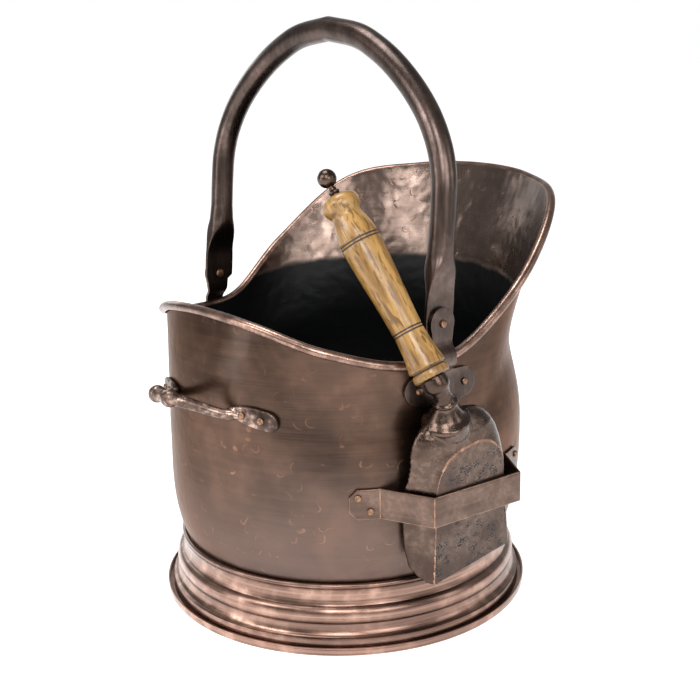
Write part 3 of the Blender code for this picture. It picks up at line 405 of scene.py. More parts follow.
    @staticmethod
    def cut(piece: Piece, cutter: Piece, operation: str = "DIFFERENCE") -> None:
        """Cut a piece with another, or join them, and take the other away."""
        Bench.modify(piece, "BOOLEAN", operation=operation, solver="EXACT", object=cutter)
        bpy.data.objects.remove(cutter, do_unlink=True)

    @staticmethod
    def drill(piece: Piece, spot: Spot, radius: float, depth: float, sides: int) -> None:
        """Drill a hole along Y.

        Args:
            piece: The piece.
            spot: Middle of the hole.
            radius: Its radius.
            depth: Its depth.
            sides: How many flats its wall has.
        """
        Bench.clear()
        turn = (math.pi / 2, 0, 0)
        bpy.ops.mesh.primitive_cylinder_add(vertices=sides, radius=radius, depth=depth, location=spot, rotation=turn)
        Bench.cut(piece, Bench.named("drill"))

    @staticmethod
    def dress(piece: Piece, *finishes: "Finish") -> Piece:
        """Give a piece its materials.

        Args:
            piece: The piece.
            finishes: Their finishes, in the order of its material slots.

        Returns:
            The piece.
        """
        for finish in finishes:
            piece.data.materials.append(finish.material())
        return piece

    @staticmethod
    def finish(piece: Piece, rider: Rider, slot: str, node: str) -> None:
        """Let a finished piece ride on its body in place of its CAD node.

        Args:
            piece: The finished piece.
            rider: The body that carries it.
            slot: The record's material slot; not used.
            node: The CAD node that it replaces.
        """
        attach(piece, rider.value)
        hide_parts(node)
        LOG.info("%s: %d faces on %s", piece.name, len(piece.data.polygons), rider.value)


@dataclass
class Board:
    """A node tree with short calls that add nodes and join them."""

    tree: NodeTree

    def feed(self, socket: Socket, value: Feed) -> None:
        """Set a socket, or link it when the value is another socket.

        Args:
            socket: The socket.
            value: A value, or the socket to link.
        """
        if isinstance(value, Socket):
            self.tree.links.new(value, socket)
        elif isinstance(value, (int, float)):
            socket.default_value = value
        elif len(value) == 3 and socket.type == "RGBA":
            socket.default_value = (*value, 1.0)
        else:
            socket.default_value = value

    def add(self, kind: str, settings: Optional[dict] = None, **inputs: Feed) -> Node:
        """Add a node.

        Args:
            kind: The node's type, without its ShaderNode.
            settings: Its properties.
            inputs: What its sockets take, with _ for a space in a socket's name.

        Returns:
            The node.
        """
        node = self.tree.nodes.new("ShaderNode" + kind)
        for key, value in (settings or {}).items():
            setattr(node, key, value)
        return self.fill(node, **inputs)

    def fill(self, node: Node, **inputs: Feed) -> Node:
        """Fill a node's sockets.

        Args:
            node: The node.
            inputs: What its sockets take, with _ for a space in a socket's name.

        Returns:
            The node.
        """
        for key, value in inputs.items():
            self.feed(node.inputs[key.replace("_", " ")], value)
        return node

    def math(self, operation: str, first: Feed, second: Feed = 0.0, clamp: bool = False) -> Socket:
        """Add a Math node and give its result.

        Args:
            operation: What it does.
            first: Its first value.
            second: Its second value.
            clamp: Whether to hold the result between 0 and 1.

        Returns:
            The result.
        """
        node = self.add("Math", {"operation": operation, "use_clamp": clamp})
        self.feed(node.inputs[0], first)
        self.feed(node.inputs[1], second)
        return node.outputs[0]

    def colours(self, factor: Feed, first: Feed, second: Feed, blend: str = "MIX") -> Socket:
        """Mix two colours.

        Args:
            factor: Share of the second.
            first: The first.
            second: The second.
            blend: How they mix.

        Returns:
            The mixed colour.
        """
        node = self.add("Mix", {"data_type": "RGBA", "blend_type": blend})
        for index, value in ((0, factor), (6, first), (7, second)):
            self.feed(node.inputs[index], value)
        return node.outputs[2]

    def values(self, factor: Feed, first: Feed, second: Feed) -> Socket:
        """Mix two values.

        Args:
            factor: Share of the second.
            first: The first.
            second: The second.

        Returns:
            The mixed value.
        """
        node = self.add("Mix", {"data_type": "FLOAT"})
        for index, value in ((0, factor), (2, first), (3, second)):
            self.feed(node.inputs[index], value)
        return node.outputs[0]

    def vectors(self, operation: str, first: Feed, second: Feed) -> Socket:
        """Add a Vector Math node.

        Args:
            operation: What it does.
            first: Its first vector.
            second: Its second vector, or for SCALE its factor.

        Returns:
            The result.
        """
        node = self.add("VectorMath", {"operation": operation})
        self.feed(node.inputs[0], first)
        self.feed(node.inputs["Scale" if operation == "SCALE" else 1], second)
        return node.outputs["Value" if operation == "DOT_PRODUCT" else "Vector"]

    def times(self, first: Feed, second: Feed) -> Socket:
        """Multiply two values."""
        return self.math("MULTIPLY", first, second)

    def rest(self, value: Feed) -> Socket:
        """Give what a share leaves of one."""
        return self.math("SUBTRACT", 1.0, value)

    def step(self, value: Feed, low: float, high: float) -> Socket:
        """Give a smooth step of a value between two limits.

        Args:
            value: What is read.
            low: Where the step starts.
            high: Where it ends.

        Returns:
            A value from 0 to 1.
        """
        node = self.add("MapRange", {"interpolation_type": "SMOOTHSTEP"})
        for index, part in enumerate((value, low, high, 0.0, 1.0)):
            self.feed(node.inputs[index], part)
        return node.outputs[0]

    def noise(self, vector: Feed, scale: float, detail: float = 3.0, rough: float = 0.55) -> Socket:
        """Add a noise texture and give its height."""
        node = self.add("TexNoise", Vector=vector, Scale=scale, Detail=detail, Roughness=rough)
        return node.outputs[0]

    def stretch(self, vector: Feed, scale: Feed) -> Socket:
        """Stretch coordinates."""
        node = self.add("Mapping", Vector=vector, Scale=scale)
        return node.outputs[0]

    def parts(self, vector: Feed) -> list[Socket]:
        """Part a vector into X, Y and Z."""
        node = self.add("SeparateXYZ", Vector=vector)
        return list(node.outputs)

    def vector(self, first: Feed, second: Feed, third: Feed) -> Socket:
        """Make a vector of three values.

        Args:
            first: X.
            second: Y.
            third: Z.

        Returns:
            The vector.
        """
        node = self.add("CombineXYZ")
        for index, value in enumerate((first, second, third)):
            self.feed(node.inputs[index], value)
        return node.outputs[0]

    def group(self, tree: NodeTree, **inputs: Feed) -> Node:
        """Place a shader node group."""
        return self.add("Group", {"node_tree": tree}, **inputs)


class SurfaceGroups:
    """The effects that several finishes share, each a node group built once."""

    def __init__(self) -> None:
        """Build the groups."""
        self.patina = self.build_patina()
        self.hammer = self.build_hammer()
        self.brush = self.build_brush()
        self.grain = self.build_grain()

    @staticmethod
    def start(name: str, inputs: dict[str, str], outputs: dict[str, str]) -> tuple[Board, dict, dict]:
        """Start a group.

        Args:
            name: The group's name.
            inputs: Names of its inputs and their kinds.
            outputs: Names of its outputs and their kinds.

        Returns:
            Its board, the sockets that come in and the sockets that go out.
        """
        tree = bpy.data.node_groups.new(name, "ShaderNodeTree")
        for label, kind in inputs.items():
            tree.interface.new_socket(name=label, in_out="INPUT", socket_type="NodeSocket" + kind)
        for label, kind in outputs.items():
            tree.interface.new_socket(name=label, in_out="OUTPUT", socket_type="NodeSocket" + kind)
        come = tree.nodes.new("NodeGroupInput")
        go = tree.nodes.new("NodeGroupOutput")
        return Board(tree), dict(come.outputs.items()), dict(go.inputs.items())

    def build_patina(self) -> NodeTree:
        """Build the mottled patina: dark where it lies thick and bright where it is rubbed off.

        Returns:
            The group.
        """
        colours = {"Dark": "Color", "Middle": "Color", "Bright": "Color"}
        inputs = {"Vector": "Vector", "Scale": "Float", "Rubbed": "Float", **colours}
        board, come, go = self.start("patina", inputs, {"Colour": "Color", "Wear": "Float"})
        broad = board.add("TexNoise", Vector=come["Vector"], Scale=come["Scale"], Detail=4.0)
        fine_scale = board.times(come["Scale"], 5.5)
        fine = board.add("TexNoise", Vector=come["Vector"], Scale=fine_scale, Detail=6.0)
        cloud = board.step(broad.outputs[0], 0.38, 0.60)
        speck = board.step(fine.outputs[0], 0.40, 0.70)
        ground = board.colours(cloud, come["Dark"], come["Middle"])
        wear = board.math("MULTIPLY", board.times(speck, cloud), come["Rubbed"], True)
        board.feed(go["Colour"], board.colours(wear, ground, come["Bright"]))
        board.feed(go["Wear"], wear)
        return board.tree

    def build_hammer(self) -> NodeTree:
        """Build the planishing: shallow dished blows and the short curved creases between them.

        Returns:
            The group.
        """
        inputs = {"Vector": "Vector", "Blows": "Float", "Creases": "Float"}
        board, come, go = self.start("hammer_blows", inputs, {"Height": "Float", "Marks": "Float"})
        place = come["Vector"]
        drift = board.add("TexNoise", Vector=place, Scale=22.0, Detail=2.0)
        moved = board.vectors("ADD", place, board.vectors("SCALE", drift.outputs[1], 0.022))
        cells = board.add("TexVoronoi", {"feature": "SMOOTH_F1"}, Vector=moved, Scale=come["Blows"])
        bowls = board.add("TexVoronoi", {"feature": "F1"}, Vector=moved, Scale=come["Creases"])
        off = board.math("ABSOLUTE", board.math("SUBTRACT", bowls.outputs[0], 0.36))
        line = board.rest(board.step(off, 0.0, 0.075))
        away = board.vectors("SUBTRACT", moved, bowls.outputs["Position"])
        chance = board.vectors("SUBTRACT", bowls.outputs["Color"], (0.5, 0.5, 0.72))
        side = board.vectors("DOT_PRODUCT", away, chance)
        line = board.times(line, board.step(side, 0.0004, 0.0018))
        broken = board.step(board.noise(place, 60.0, 3.0), 0.40, 0.54)
        patch = board.step(board.noise(place, 17.0, 1.0), 0.30, 0.50)
        low = board.rest(board.step(board.parts(place)[2], 0.13, 0.21))
        patch = board.times(patch, board.values(low, 0.30, 1.0))
        marks = board.times(board.times(line, broken), patch)
        rise = board.times(cells.outputs[0], 0.6)
        wave = board.times(board.noise(place, 34.0, 2.0), 1.6)
        height = board.math("ADD", board.math("ADD", rise, wave), board.times(marks, 0.45))
        board.feed(go["Height"], height)
        board.feed(go["Marks"], marks)
        return board.tree

    def build_brush(self) -> NodeTree:
        """Build the fine lines that a wire brush leaves along one way of its coordinates.

        Returns:
            The group.
        """
        inputs = {"Vector": "Vector", "Stretch": "Vector"}
        board, come, go = self.start("brush_lines", inputs, {"Height": "Float", "Streak": "Float"})
        drawn = board.stretch(come["Vector"], come["Stretch"])
        fine = board.noise(drawn, 1.0, 5.0, 0.7)
        broad = board.noise(drawn, 0.21, 2.0, 0.5)
        board.feed(go["Height"], fine)
        board.feed(go["Streak"], board.step(board.values(0.45, fine, broad), 0.34, 0.66))
        return board.tree

    def build_grain(self) -> NodeTree:
        """Build the skin of a sand casting: a fine grain and clustered pits.

        Returns:
            The group.
        """
        inputs = {"Vector": "Vector", "Pitting": "Float"}
        board, come, go = self.start("cast_skin", inputs, {"Height": "Float", "Pits": "Float"})
        place = come["Vector"]
        grain = board.noise(place, 420.0, 4.0, 0.6)
        lump = board.noise(place, 90.0, 2.0)
        spots = board.add("TexVoronoi", {"feature": "F1"}, Vector=place, Scale=640.0)
        patch = board.noise(place, 110.0, 3.0)
        crowd = board.times(board.math("SUBTRACT", patch, 0.42), 1.7)
        reach = board.math("SUBTRACT", board.math("ADD", crowd, 0.21), spots.outputs[0])
        pits = board.math("MULTIPLY", board.step(reach, 0.0, 0.10), come["Pitting"], True)
        height = board.math("ADD", board.times(grain, 0.35), board.times(lump, 0.9))
        board.feed(go["Height"], board.math("SUBTRACT", height, pits))
        board.feed(go["Pits"], pits)
        return board.tree


@dataclass(frozen=True)
class CopperTones:
    """Colours of an antiqued copper, from its thickest patina to bare metal."""

    dark: Colour
    middle: Colour
    bright: Colour
    rubbed: float
    rough_low: float
    rough_high: float


@dataclass
class Finish:
    """A finish: makes one material on its first use and gives it again after that.

    Attributes:
        groups: The node groups that finishes share.
        name: The material's name.
        made: The material, once it is made.
    """

    groups: SurfaceGroups
    name: str
    made: Optional[bpy.types.Material] = field(init=False, default=None)

    def material(self) -> bpy.types.Material:
        """Give the material.

        Returns:
            The material.
        """
        if self.made is None:
            self.made = bpy.data.materials.new(self.name)
            self.made.use_nodes = True
            board = Board(self.made.node_tree)
            shader = self.made.node_tree.nodes["Principled BSDF"]
            coordinates = board.add("TexCoord").outputs["Object"]
            self.paint(board, shader, coordinates)
        return self.made

    def paint(self, board: Board, shader: Node, place: Socket) -> None:
        """Join the finish's nodes to the shader."""
        raise NotImplementedError

    def patina(self, board: Board, place: Socket, tones: CopperTones, scale: float) -> Node:
        """Lay the patina over a copper."""
        colours = {"Rubbed": tones.rubbed, "Dark": tones.dark, "Middle": tones.middle, "Bright": tones.bright}
        return board.group(self.groups.patina, Vector=place, Scale=scale, **colours)

    @staticmethod
    def relief(board: Board, shader: Node, height: Feed, strength: float, distance: float) -> None:
        """Give the surface a fine relief."""
        bump = board.add("Bump", Height=height, Strength=strength, Distance=distance)
        board.feed(shader.inputs["Normal"], bump.outputs[0])


@dataclass
class HammeredCopper(Finish):
    """Hammered sheet with a brown antique patina, wire-brushed around, with a painted reflection of the white floor,
    lighter and greyer, on its lower belly.
    """

    tones: CopperTones
    # Lighter, greyer tone painted on the lower belly as a reflection of the white floor.
    floor_reflection_tone: Colour = (0.165, 0.115, 0.098)
    edge_tint: Colour = (0.64, 0.50, 0.44)
    mark: Colour = (0.42, 0.215, 0.130)

    def paint(self, board: Board, shader: Node, place: Socket) -> None:
        """Join patina, blows, brush lines and the painted floor reflection to the shader.

        Args:
            board: The material's board.
            shader: Its shader.
            place: Coordinates on the piece.
        """
        colour, wear, height = self.copper(board, place)
        board.fill(shader, Metallic=1.0, Specular_Tint=self.edge_tint, Coat_Weight=0.22, Coat_Roughness=0.22)
        # Painted reflection: the lower belly is mixed towards a lighter, greyer tone, as if it mirrored the floor.
        up = board.parts(place)[2]
        drift = board.times(board.math("SUBTRACT", board.noise(place, 9.0, 2.0), 0.5), 0.12)
        low = board.rest(board.step(board.math("ADD", up, drift), 0.055, 0.185))
        low = board.times(low, 0.62)
        shine = board.values(wear, self.tones.rough_high, self.tones.rough_low)
        board.fill(shader, Base_Color=board.colours(low, colour, self.floor_reflection_tone), Roughness=shine)
        self.relief(board, shader, height, 0.55, 0.0011)

    def copper(self, board: Board, place: Socket) -> tuple[Socket, Socket, Socket]:
        """Lay the copper's colour, wear and height.

        Args:
            board: The material's board.
            place: Coordinates on the piece.

        Returns:
            Sockets of the colour, the wear and the height.
        """
        tones = self.tones
        patina = self.patina(board, place, tones, 7.5)
        blows = board.group(self.groups.hammer, Vector=place, Blows=82.0, Creases=74.0)
        brush = board.group(self.groups.brush, Vector=place, Stretch=(26.0, 26.0, 950.0))
        streak = board.times(brush.outputs["Streak"], 0.17)
        streaked = board.colours(streak, patina.outputs["Colour"], tones.bright)
        marked = board.colours(board.times(blows.outputs["Marks"], 0.46), streaked, self.mark)
        height = board.math("ADD", blows.outputs["Height"], board.times(brush.outputs["Height"], 0.05))
        return marked, patina.outputs["Wear"], height


@dataclass
class HoodInside(HammeredCopper):
    """Inside of the bucket: hammered copper down to the line of the black paint."""

    line_height: float = 0.262
    line_climb: float = 0.130
    black: Colour = (0.0032, 0.0034, 0.0034)

    def paint(self, board: Board, shader: Node, place: Socket) -> None:
        """Join copper and black paint to the shader.

        Args:
            board: The material's board.
            shader: Its shader.
            place: Coordinates on the piece.
        """
        colour, wear, height = self.copper(board, place)
        along, _, up = board.parts(place)
        level = board.math("ADD", board.times(along, self.line_climb), self.line_height)
        ragged = board.times(board.noise(place, 60.0, 3.0), 0.006)
        above = board.step(board.math("ADD", board.math("SUBTRACT", up, level), ragged), 0.0, 0.007)
        shine = board.values(wear, self.tones.rough_high, self.tones.rough_low)
        board.fill(shader, Base_Color=board.colours(above, self.black, colour), Metallic=above)
        board.fill(shader, Specular_IOR_Level=0.12, Roughness=board.values(above, 0.42, shine))
        self.relief(board, shader, height, 0.60, 0.0018)


@dataclass
class PlainCopper(Finish):
    """Smooth antiqued copper, for the rim, bail, ears, strap and rivets.

    Attributes:
        tones: Its colours.
        stretch: How closely its brush lines lie across and up the piece.
        scale: How many patches of patina it has to a metre.
    """

    tones: CopperTones
    stretch: Point
    scale: float

    def paint(self, board: Board, shader: Node, place: Socket) -> None:
        """Join patina and brush lines to the shader.

        Args:
            board: The material's board.
            shader: Its shader.
            place: Coordinates on the piece.
        """
        tones = self.tones
        patina = self.patina(board, place, tones, self.scale)
        across, up = self.stretch
        brush = board.group(self.groups.brush, Vector=place, Stretch=(across, across, up))
        streak = board.times(brush.outputs["Streak"], 0.35)
        colour = board.colours(streak, patina.outputs["Colour"], tones.bright)
        shine = board.values(patina.outputs["Wear"], tones.rough_high, tones.rough_low)
        board.fill(shader, Base_Color=colour, Roughness=shine, Metallic=1.0, Coat_Weight=0.25, Coat_Roughness=0.2)
        self.relief(board, shader, brush.outputs["Height"], 0.25, 0.0002)


@dataclass
class SpunCopper(Finish):
    """The foot ring's copper, brushed round on the lathe, with shade painted into its grooves and along its top where
    it meets the body.
    """

    tones: CopperTones
    groove_shade: Colour = (0.055, 0.026, 0.018)
    skirt_height: float = 0.060
    shade_heights: Shares = (0.0, 0.13, 0.20, 0.27, 0.37, 0.42, 0.50, 0.58, 0.63, 0.72, 0.86, 0.93, 1.0)
    shades: Shares = (0.05, 0.0, 0.30, 0.0, 0.45, 0.30, 0.0, 0.30, 0.45, 0.05, 0.25, 0.55, 0.05)

    def paint(self, board: Board, shader: Node, place: Socket) -> None:
        """Join lathe lines and the shade painted into the grooves to the shader.

        Args:
            board: The material's board.
            shader: Its shader.
            place: Coordinates on the piece.
        """
        across, deep, up = board.parts(place)
        squares = board.math("ADD", board.math("POWER", across, 2.0), board.math("POWER", deep, 2.0))
        reach = board.math("SQRT", squares)
        turn = board.math("ARCTAN2", deep, across)
        lathe = board.vector(reach, up, board.times(turn, 0.004))
        brush = board.group(self.groups.brush, Vector=lathe, Stretch=(1500.0, 1500.0, 260.0))
        patina = self.patina(board, place, self.tones, 13.0)
        streak = board.times(brush.outputs["Streak"], 0.55)
        plain = board.colours(streak, patina.outputs["Colour"], self.tones.bright)
        # Painted shade: a ramp by height darkens the grooves, the gap above the lip and the top where the ring meets
        # the body.
        shades = board.add("ValToRGB", Fac=board.math("DIVIDE", up, self.skirt_height))
        ramp = shades.color_ramp
        for index, (where, shade) in enumerate(zip(self.shade_heights, self.shades)):
            stop = ramp.elements[index] if index < 2 else ramp.elements.new(where)
            stop.position = where
            stop.color = (shade, shade, shade, 1)
        colour = board.colours(shades.outputs[0], plain, self.groove_shade)
        shine = board.values(brush.outputs["Streak"], self.tones.rough_low, self.tones.rough_high)
        board.fill(shader, Base_Color=colour, Roughness=shine, Metallic=1.0, Coat_Weight=0.5, Coat_Roughness=0.2)
        self.relief(board, shader, brush.outputs["Height"], 0.30, 0.00025)


@dataclass
class CastCopper(Finish):
    """A rough casting under antiqued copper, its high spots rubbed bright.

    Attributes:
        tones: Its colours.
        pitting: How many of its pits are black.
        depth: Depth of its skin in metres.
    """

    tones: CopperTones
    pitting: float
    depth: float
    pit: Colour = (0.008, 0.007, 0.007)

    def paint(self, board: Board, shader: Node, place: Socket) -> None:
        """Join patina, cast skin and pits to the shader.

        Args:
            board: The material's board.
            shader: Its shader.
            place: Coordinates on the piece.
        """
        tones = self.tones
        patina = self.patina(board, place, tones, 34.0)
        skin = board.group(self.groups.grain, Vector=place, Pitting=self.pitting)
        pits = skin.outputs["Pits"]
        colour = board.colours(pits, patina.outputs["Colour"], self.pit)
        shine = board.values(patina.outputs["Wear"], tones.rough_high, tones.rough_low)
        board.fill(shader, Base_Color=colour, Metallic=board.rest(board.times(pits, 0.7)))
        board.fill(shader, Roughness=board.values(pits, shine, 0.75), Coat_Weight=0.15, Coat_Roughness=0.25)
        self.relief(board, shader, skin.outputs["Height"], 0.6, self.depth)


@dataclass
class GripWood(Finish):
    """Turned mango wood along the grip's own axis, waxed, with burnt rings.

    Attributes:
        frame: The grip's own frame, its axis Z.
        length: The grip's length.
        rings: Shares of the length at which a ring is burnt.
    """

    frame: Matrix
    length: float
    rings: Shares
    pale: Colour = (0.345, 0.192, 0.054)
    gold: Colour = (0.175, 0.088, 0.023)
    dark: Colour = (0.078, 0.034, 0.009)
    burnt: Colour = (0.020, 0.010, 0.005)

    def paint(self, board: Board, shader: Node, place: Socket) -> None:
        """Join growth rings, pores and burnt rings to the shader.

        Args:
            board: The material's board.
            shader: Its shader.
            place: Coordinates on the piece.
        """
        mapping = board.add("Mapping", {"vector_type": "TEXTURE"}, Vector=place)
        board.fill(mapping, Location=self.frame.translation, Rotation=self.frame.to_euler())
        own = mapping.outputs[0]
        drawn = board.stretch(own, (1.0, 1.0, 0.16))
        bent = board.noise(own, 19.0, 3.0)
        cloud = board.noise(drawn, 95.0, 4.0, 0.6)
        rings = board.add("TexNoise", Vector=drawn, Scale=190.0, Detail=5.0, Distortion=2.2).outputs[0]
        pores = board.noise(board.stretch(own, (1.0, 1.0, 0.09)), 900.0, 3.0, 0.7)
        tone = board.colours(board.step(cloud, 0.34, 0.62), self.gold, self.pale)
        tone = board.colours(board.times(board.step(rings, 0.50, 0.64), 0.80), tone, self.dark)
        tone = board.colours(board.times(board.step(bent, 0.50, 0.70), 0.42), tone, self.dark)
        tone = board.colours(board.times(board.step(pores, 0.60, 0.72), 0.55), tone, self.dark)
        up = board.math("DIVIDE", board.parts(own)[2], self.length)
        char: Feed = 0.0
        for ring in self.rings:
            near = board.math("ABSOLUTE", board.math("SUBTRACT", up, ring))
            char = board.math("MAXIMUM", char, board.rest(board.step(near, 0.0022, 0.0062)))
        shine = board.values(char, board.values(pores, 0.24, 0.40), 0.7)
        board.fill(shader, Base_Color=board.colours(char, tone, self.burnt), Roughness=shine)
        board.fill(shader, Coat_Weight=0.16, Coat_Roughness=0.12)
        self.relief(board, shader, board.rest(pores), 0.25, 0.0003)


class Finishes:
    """Every finish of the bucket."""

    def __init__(self, grip: Matrix, length: float, rings: Shares) -> None:
        """Make the finishes.

        Args:
            grip: The grip's own frame.
            length: The grip's length.
            rings: Shares of the grip's length at which a ring is burnt.
        """
        groups = SurfaceGroups()
        brown = CopperTones((0.026, 0.0145, 0.0092), (0.068, 0.0385, 0.0265), (0.185, 0.102, 0.068), 0.32, 0.23, 0.37)
        hood = CopperTones((0.060, 0.042, 0.034), (0.120, 0.085, 0.070), (0.260, 0.190, 0.160), 0.7, 0.16, 0.30)
        spun = CopperTones((0.085, 0.039, 0.027), (0.190, 0.098, 0.068), (0.520, 0.325, 0.250), 0.9, 0.24, 0.36)
        bronze = CopperTones((0.032, 0.021, 0.017), (0.062, 0.041, 0.034), (0.150, 0.104, 0.088), 0.5, 0.24, 0.36)
        strap = CopperTones((0.072, 0.044, 0.033), (0.112, 0.071, 0.055), (0.190, 0.122, 0.094), 0.6, 0.30, 0.42)
        rim = CopperTones((0.100, 0.058, 0.044), (0.200, 0.120, 0.092), (0.380, 0.240, 0.185), 0.9, 0.22, 0.34)
        edge = CopperTones((0.150, 0.078, 0.050), (0.270, 0.150, 0.098), (0.450, 0.265, 0.180), 0.9, 0.26, 0.38)
        rivet = CopperTones((0.090, 0.048, 0.028), (0.200, 0.108, 0.062), (0.360, 0.205, 0.120), 0.9, 0.32, 0.48)
        cast = CopperTones((0.058, 0.036, 0.027), (0.086, 0.056, 0.043), (0.220, 0.152, 0.120), 0.35, 0.17, 0.26)
        face = CopperTones((0.062, 0.040, 0.031), (0.098, 0.066, 0.052), (0.200, 0.140, 0.112), 0.35, 0.30, 0.42)
        worn = CopperTones((0.035, 0.022, 0.017), (0.110, 0.070, 0.055), (0.420, 0.300, 0.245), 1.0, 0.24, 0.42)
        steel = CopperTones((0.200, 0.195, 0.190), (0.330, 0.320, 0.310), (0.460, 0.450, 0.440), 0.5, 0.30, 0.45)
        self.body = HammeredCopper(groups, "hammered_copper", brown)
        self.inside = HoodInside(groups, "hood_inside", hood)
        self.rim = PlainCopper(groups, "rim_copper", rim, (90.0, 90.0), 70.0)
        self.foot = SpunCopper(groups, "spun_copper", spun)
        self.bronze = PlainCopper(groups, "dark_bronze", bronze, (420.0, 40.0), 28.0)
        self.strap = PlainCopper(groups, "strap_copper", strap, (35.0, 1200.0), 45.0)
        self.edge = PlainCopper(groups, "edge_copper", edge, (200.0, 200.0), 120.0)
        self.rivet = PlainCopper(groups, "rivet_copper", rivet, (300.0, 300.0), 420.0)
        self.cast = CastCopper(groups, "cast_copper", cast, 0.10, 0.0006)
        self.pitted = CastCopper(groups, "pitted_copper", face, 1.0, 0.0008)
        self.worn = CastCopper(groups, "worn_copper", worn, 0.25, 0.0012)
        self.steel = PlainCopper(groups, "plain_steel", steel, (200.0, 200.0), 150.0)
        self.wood = GripWood(groups, "waxed_wood", grip, length, rings)


@dataclass
class BucketBody:
    """The hammered body sheet with its rolled rim."""

    sheet: float = 0.0012
    heel_height: float = 0.020
    heel_radius: float = 0.1270
    belly_height: float = 0.150
    belly_radius: float = 0.1618
    belly_lean: float = 0.0040
    waist_radius: float = 0.1550
    waist_lean: float = -0.0024
    waist_share: float = 0.42
    foot_height: float = 0.0575
    swell_power: float = 3.0
    waist_power: float = 1.4
    flare_share: float = 1.8
    hood_reach: float = 0.1877
    side_reach: float = 0.1550
    back_reach: float = 0.1496
    hood_height: float = 0.372
    side_height: float = 0.2455
    back_height: float = 0.281
    front_reach_shares: Shares = (1.0, 1.09, 1.06, 0.55, 0.0)
    back_reach_shares: Shares = (1.0, 2.02, 2.15, 0.95, 0.0)
    front_height_shares: Shares = (1.0, 0.968, 0.857, 0.43, 0.04)
    back_height_shares: Shares = (0.14, 0.0, 0.38, 0.86, 1.0)
    roll_radius: float = 0.0034
    roll_turn: float = math.radians(290)
    columns: int = 216
    lower_rows: int = 26
    upper_rows: int = 48
    roll_rows: int = 16
    reaches: list[float] = field(init=False)
    heights: list[float] = field(init=False)

    def __post_init__(self) -> None:
        """Work out reach and height of the rim from front to back."""
        front = self.hood_reach - self.side_reach
        back = self.side_reach - self.back_reach
        self.reaches = [self.side_reach + front * share for share in self.front_reach_shares]
        self.reaches += [self.back_reach + back * share for share in self.back_reach_shares[1:]]
        front = self.hood_height - self.side_height
        back = self.back_height - self.side_height
        self.heights = [self.side_height + front * share for share in self.front_height_shares]
        self.heights += [self.side_height + back * share for share in self.back_height_shares[1:]]

    def rim_reach(self, azimuth: float) -> float:
        """Give the radius of the rim wire's centre."""
        return smooth_value(self.reaches, abs(math.remainder(azimuth, math.tau)) / math.pi)

    def rim_height(self, azimuth: float) -> float:
        """Give the height of the rim wire's centre."""
        return smooth_value(self.heights, abs(math.remainder(azimuth, math.tau)) / math.pi)

    def radius(self, azimuth: float, height: float) -> float:
        """Give the radius of the middle of the sheet.

        Args:
            azimuth: Angle round the bucket from the hood.
            height: Height above the floor.

        Returns:
            The radius.
        """
        belly = self.belly_radius + self.belly_lean * math.cos(azimuth)
        waist = self.waist_radius + self.waist_lean * math.cos(azimuth)
        top = self.rim_height(azimuth)
        waist_height = self.belly_height + (top - self.belly_height) * self.waist_share
        if height <= self.belly_height:
            drop = (self.belly_height - height) / (self.belly_height - self.heel_height)
            climb = (height - self.foot_height) / (self.belly_height - self.foot_height)
            lean = (belly - self.belly_radius) * ease(climb)
            return self.belly_radius + lean - (self.belly_radius - self.heel_radius) * drop**self.swell_power
        if height <= waist_height:
            climb = (height - self.belly_height) / (waist_height - self.belly_height)
            return belly + (waist - belly) * ease(climb**self.waist_power)
        climb = (height - waist_height) / (top - waist_height)
        flare = climb * climb * (self.flare_share + (1 - self.flare_share) * climb)
        return waist + (self.rim_reach(azimuth) - self.roll_radius - waist) * flare

    def outside(self, azimuth: float, height: float) -> float:
        """Give the radius of the sheet's outer face."""
        return self.radius(azimuth, height) + self.sheet / 2

    def edge(self, azimuth: float) -> Vector:
        """Give the sheet's edge, where its roll starts."""
        height = self.rim_height(azimuth)
        return around(self.radius(azimuth, height), azimuth, height)

    def rim_frame(self, azimuth: float) -> tuple[Vector, Vector, Vector]:
        """Give the sheet's edge, its outward normal and the way up the sheet.

        Args:
            azimuth: Angle about the bucket's axis.

        Returns:
            The three vectors.
        """
        step = math.radians(1)
        edge = self.edge(azimuth)
        along = (self.edge(azimuth + step) - self.edge(azimuth - step)).normalized()
        below = edge.z - self.roll_radius
        climb = edge - around(self.radius(azimuth, below), azimuth, below)
        outward = along.cross(climb).normalized()
        return edge, outward, outward.cross(along)

    def on_sheet(self, azimuth: float, arc_length: float, height: float, out: float) -> Vector:
        """Give a point off the sheet's outer face."""
        turn = azimuth + arc_length / self.outside(azimuth, height)
        return around(self.outside(turn, height) + out, turn, height)

    def place(self, share_round: float, share_up: float) -> Vector:
        """Place a point of the sheet from its two shares of the grid.

        Args:
            share_round: Share of the way round.
            share_up: Share of the way up.

        Returns:
            The point.
        """
        azimuth = math.tau * share_round
        row = share_up * (self.lower_rows + self.upper_rows + self.roll_rows)
        if row <= self.lower_rows:
            height = self.heel_height + (self.belly_height - self.heel_height) * row / self.lower_rows
            return around(self.radius(azimuth, height), azimuth, height)
        row -= self.lower_rows
        if row <= self.upper_rows + HAIR:
            climb = self.rim_height(azimuth) - self.belly_height
            height = self.belly_height + climb * min(row / self.upper_rows, 1)
            return around(self.radius(azimuth, height), azimuth, height)
        turn = self.roll_turn * (row - self.upper_rows) / self.roll_rows
        edge, outward, upward = self.rim_frame(azimuth)
        out = outward * self.roll_radius * (1 - math.cos(turn))
        return edge + out + upward * self.roll_radius * math.sin(turn)

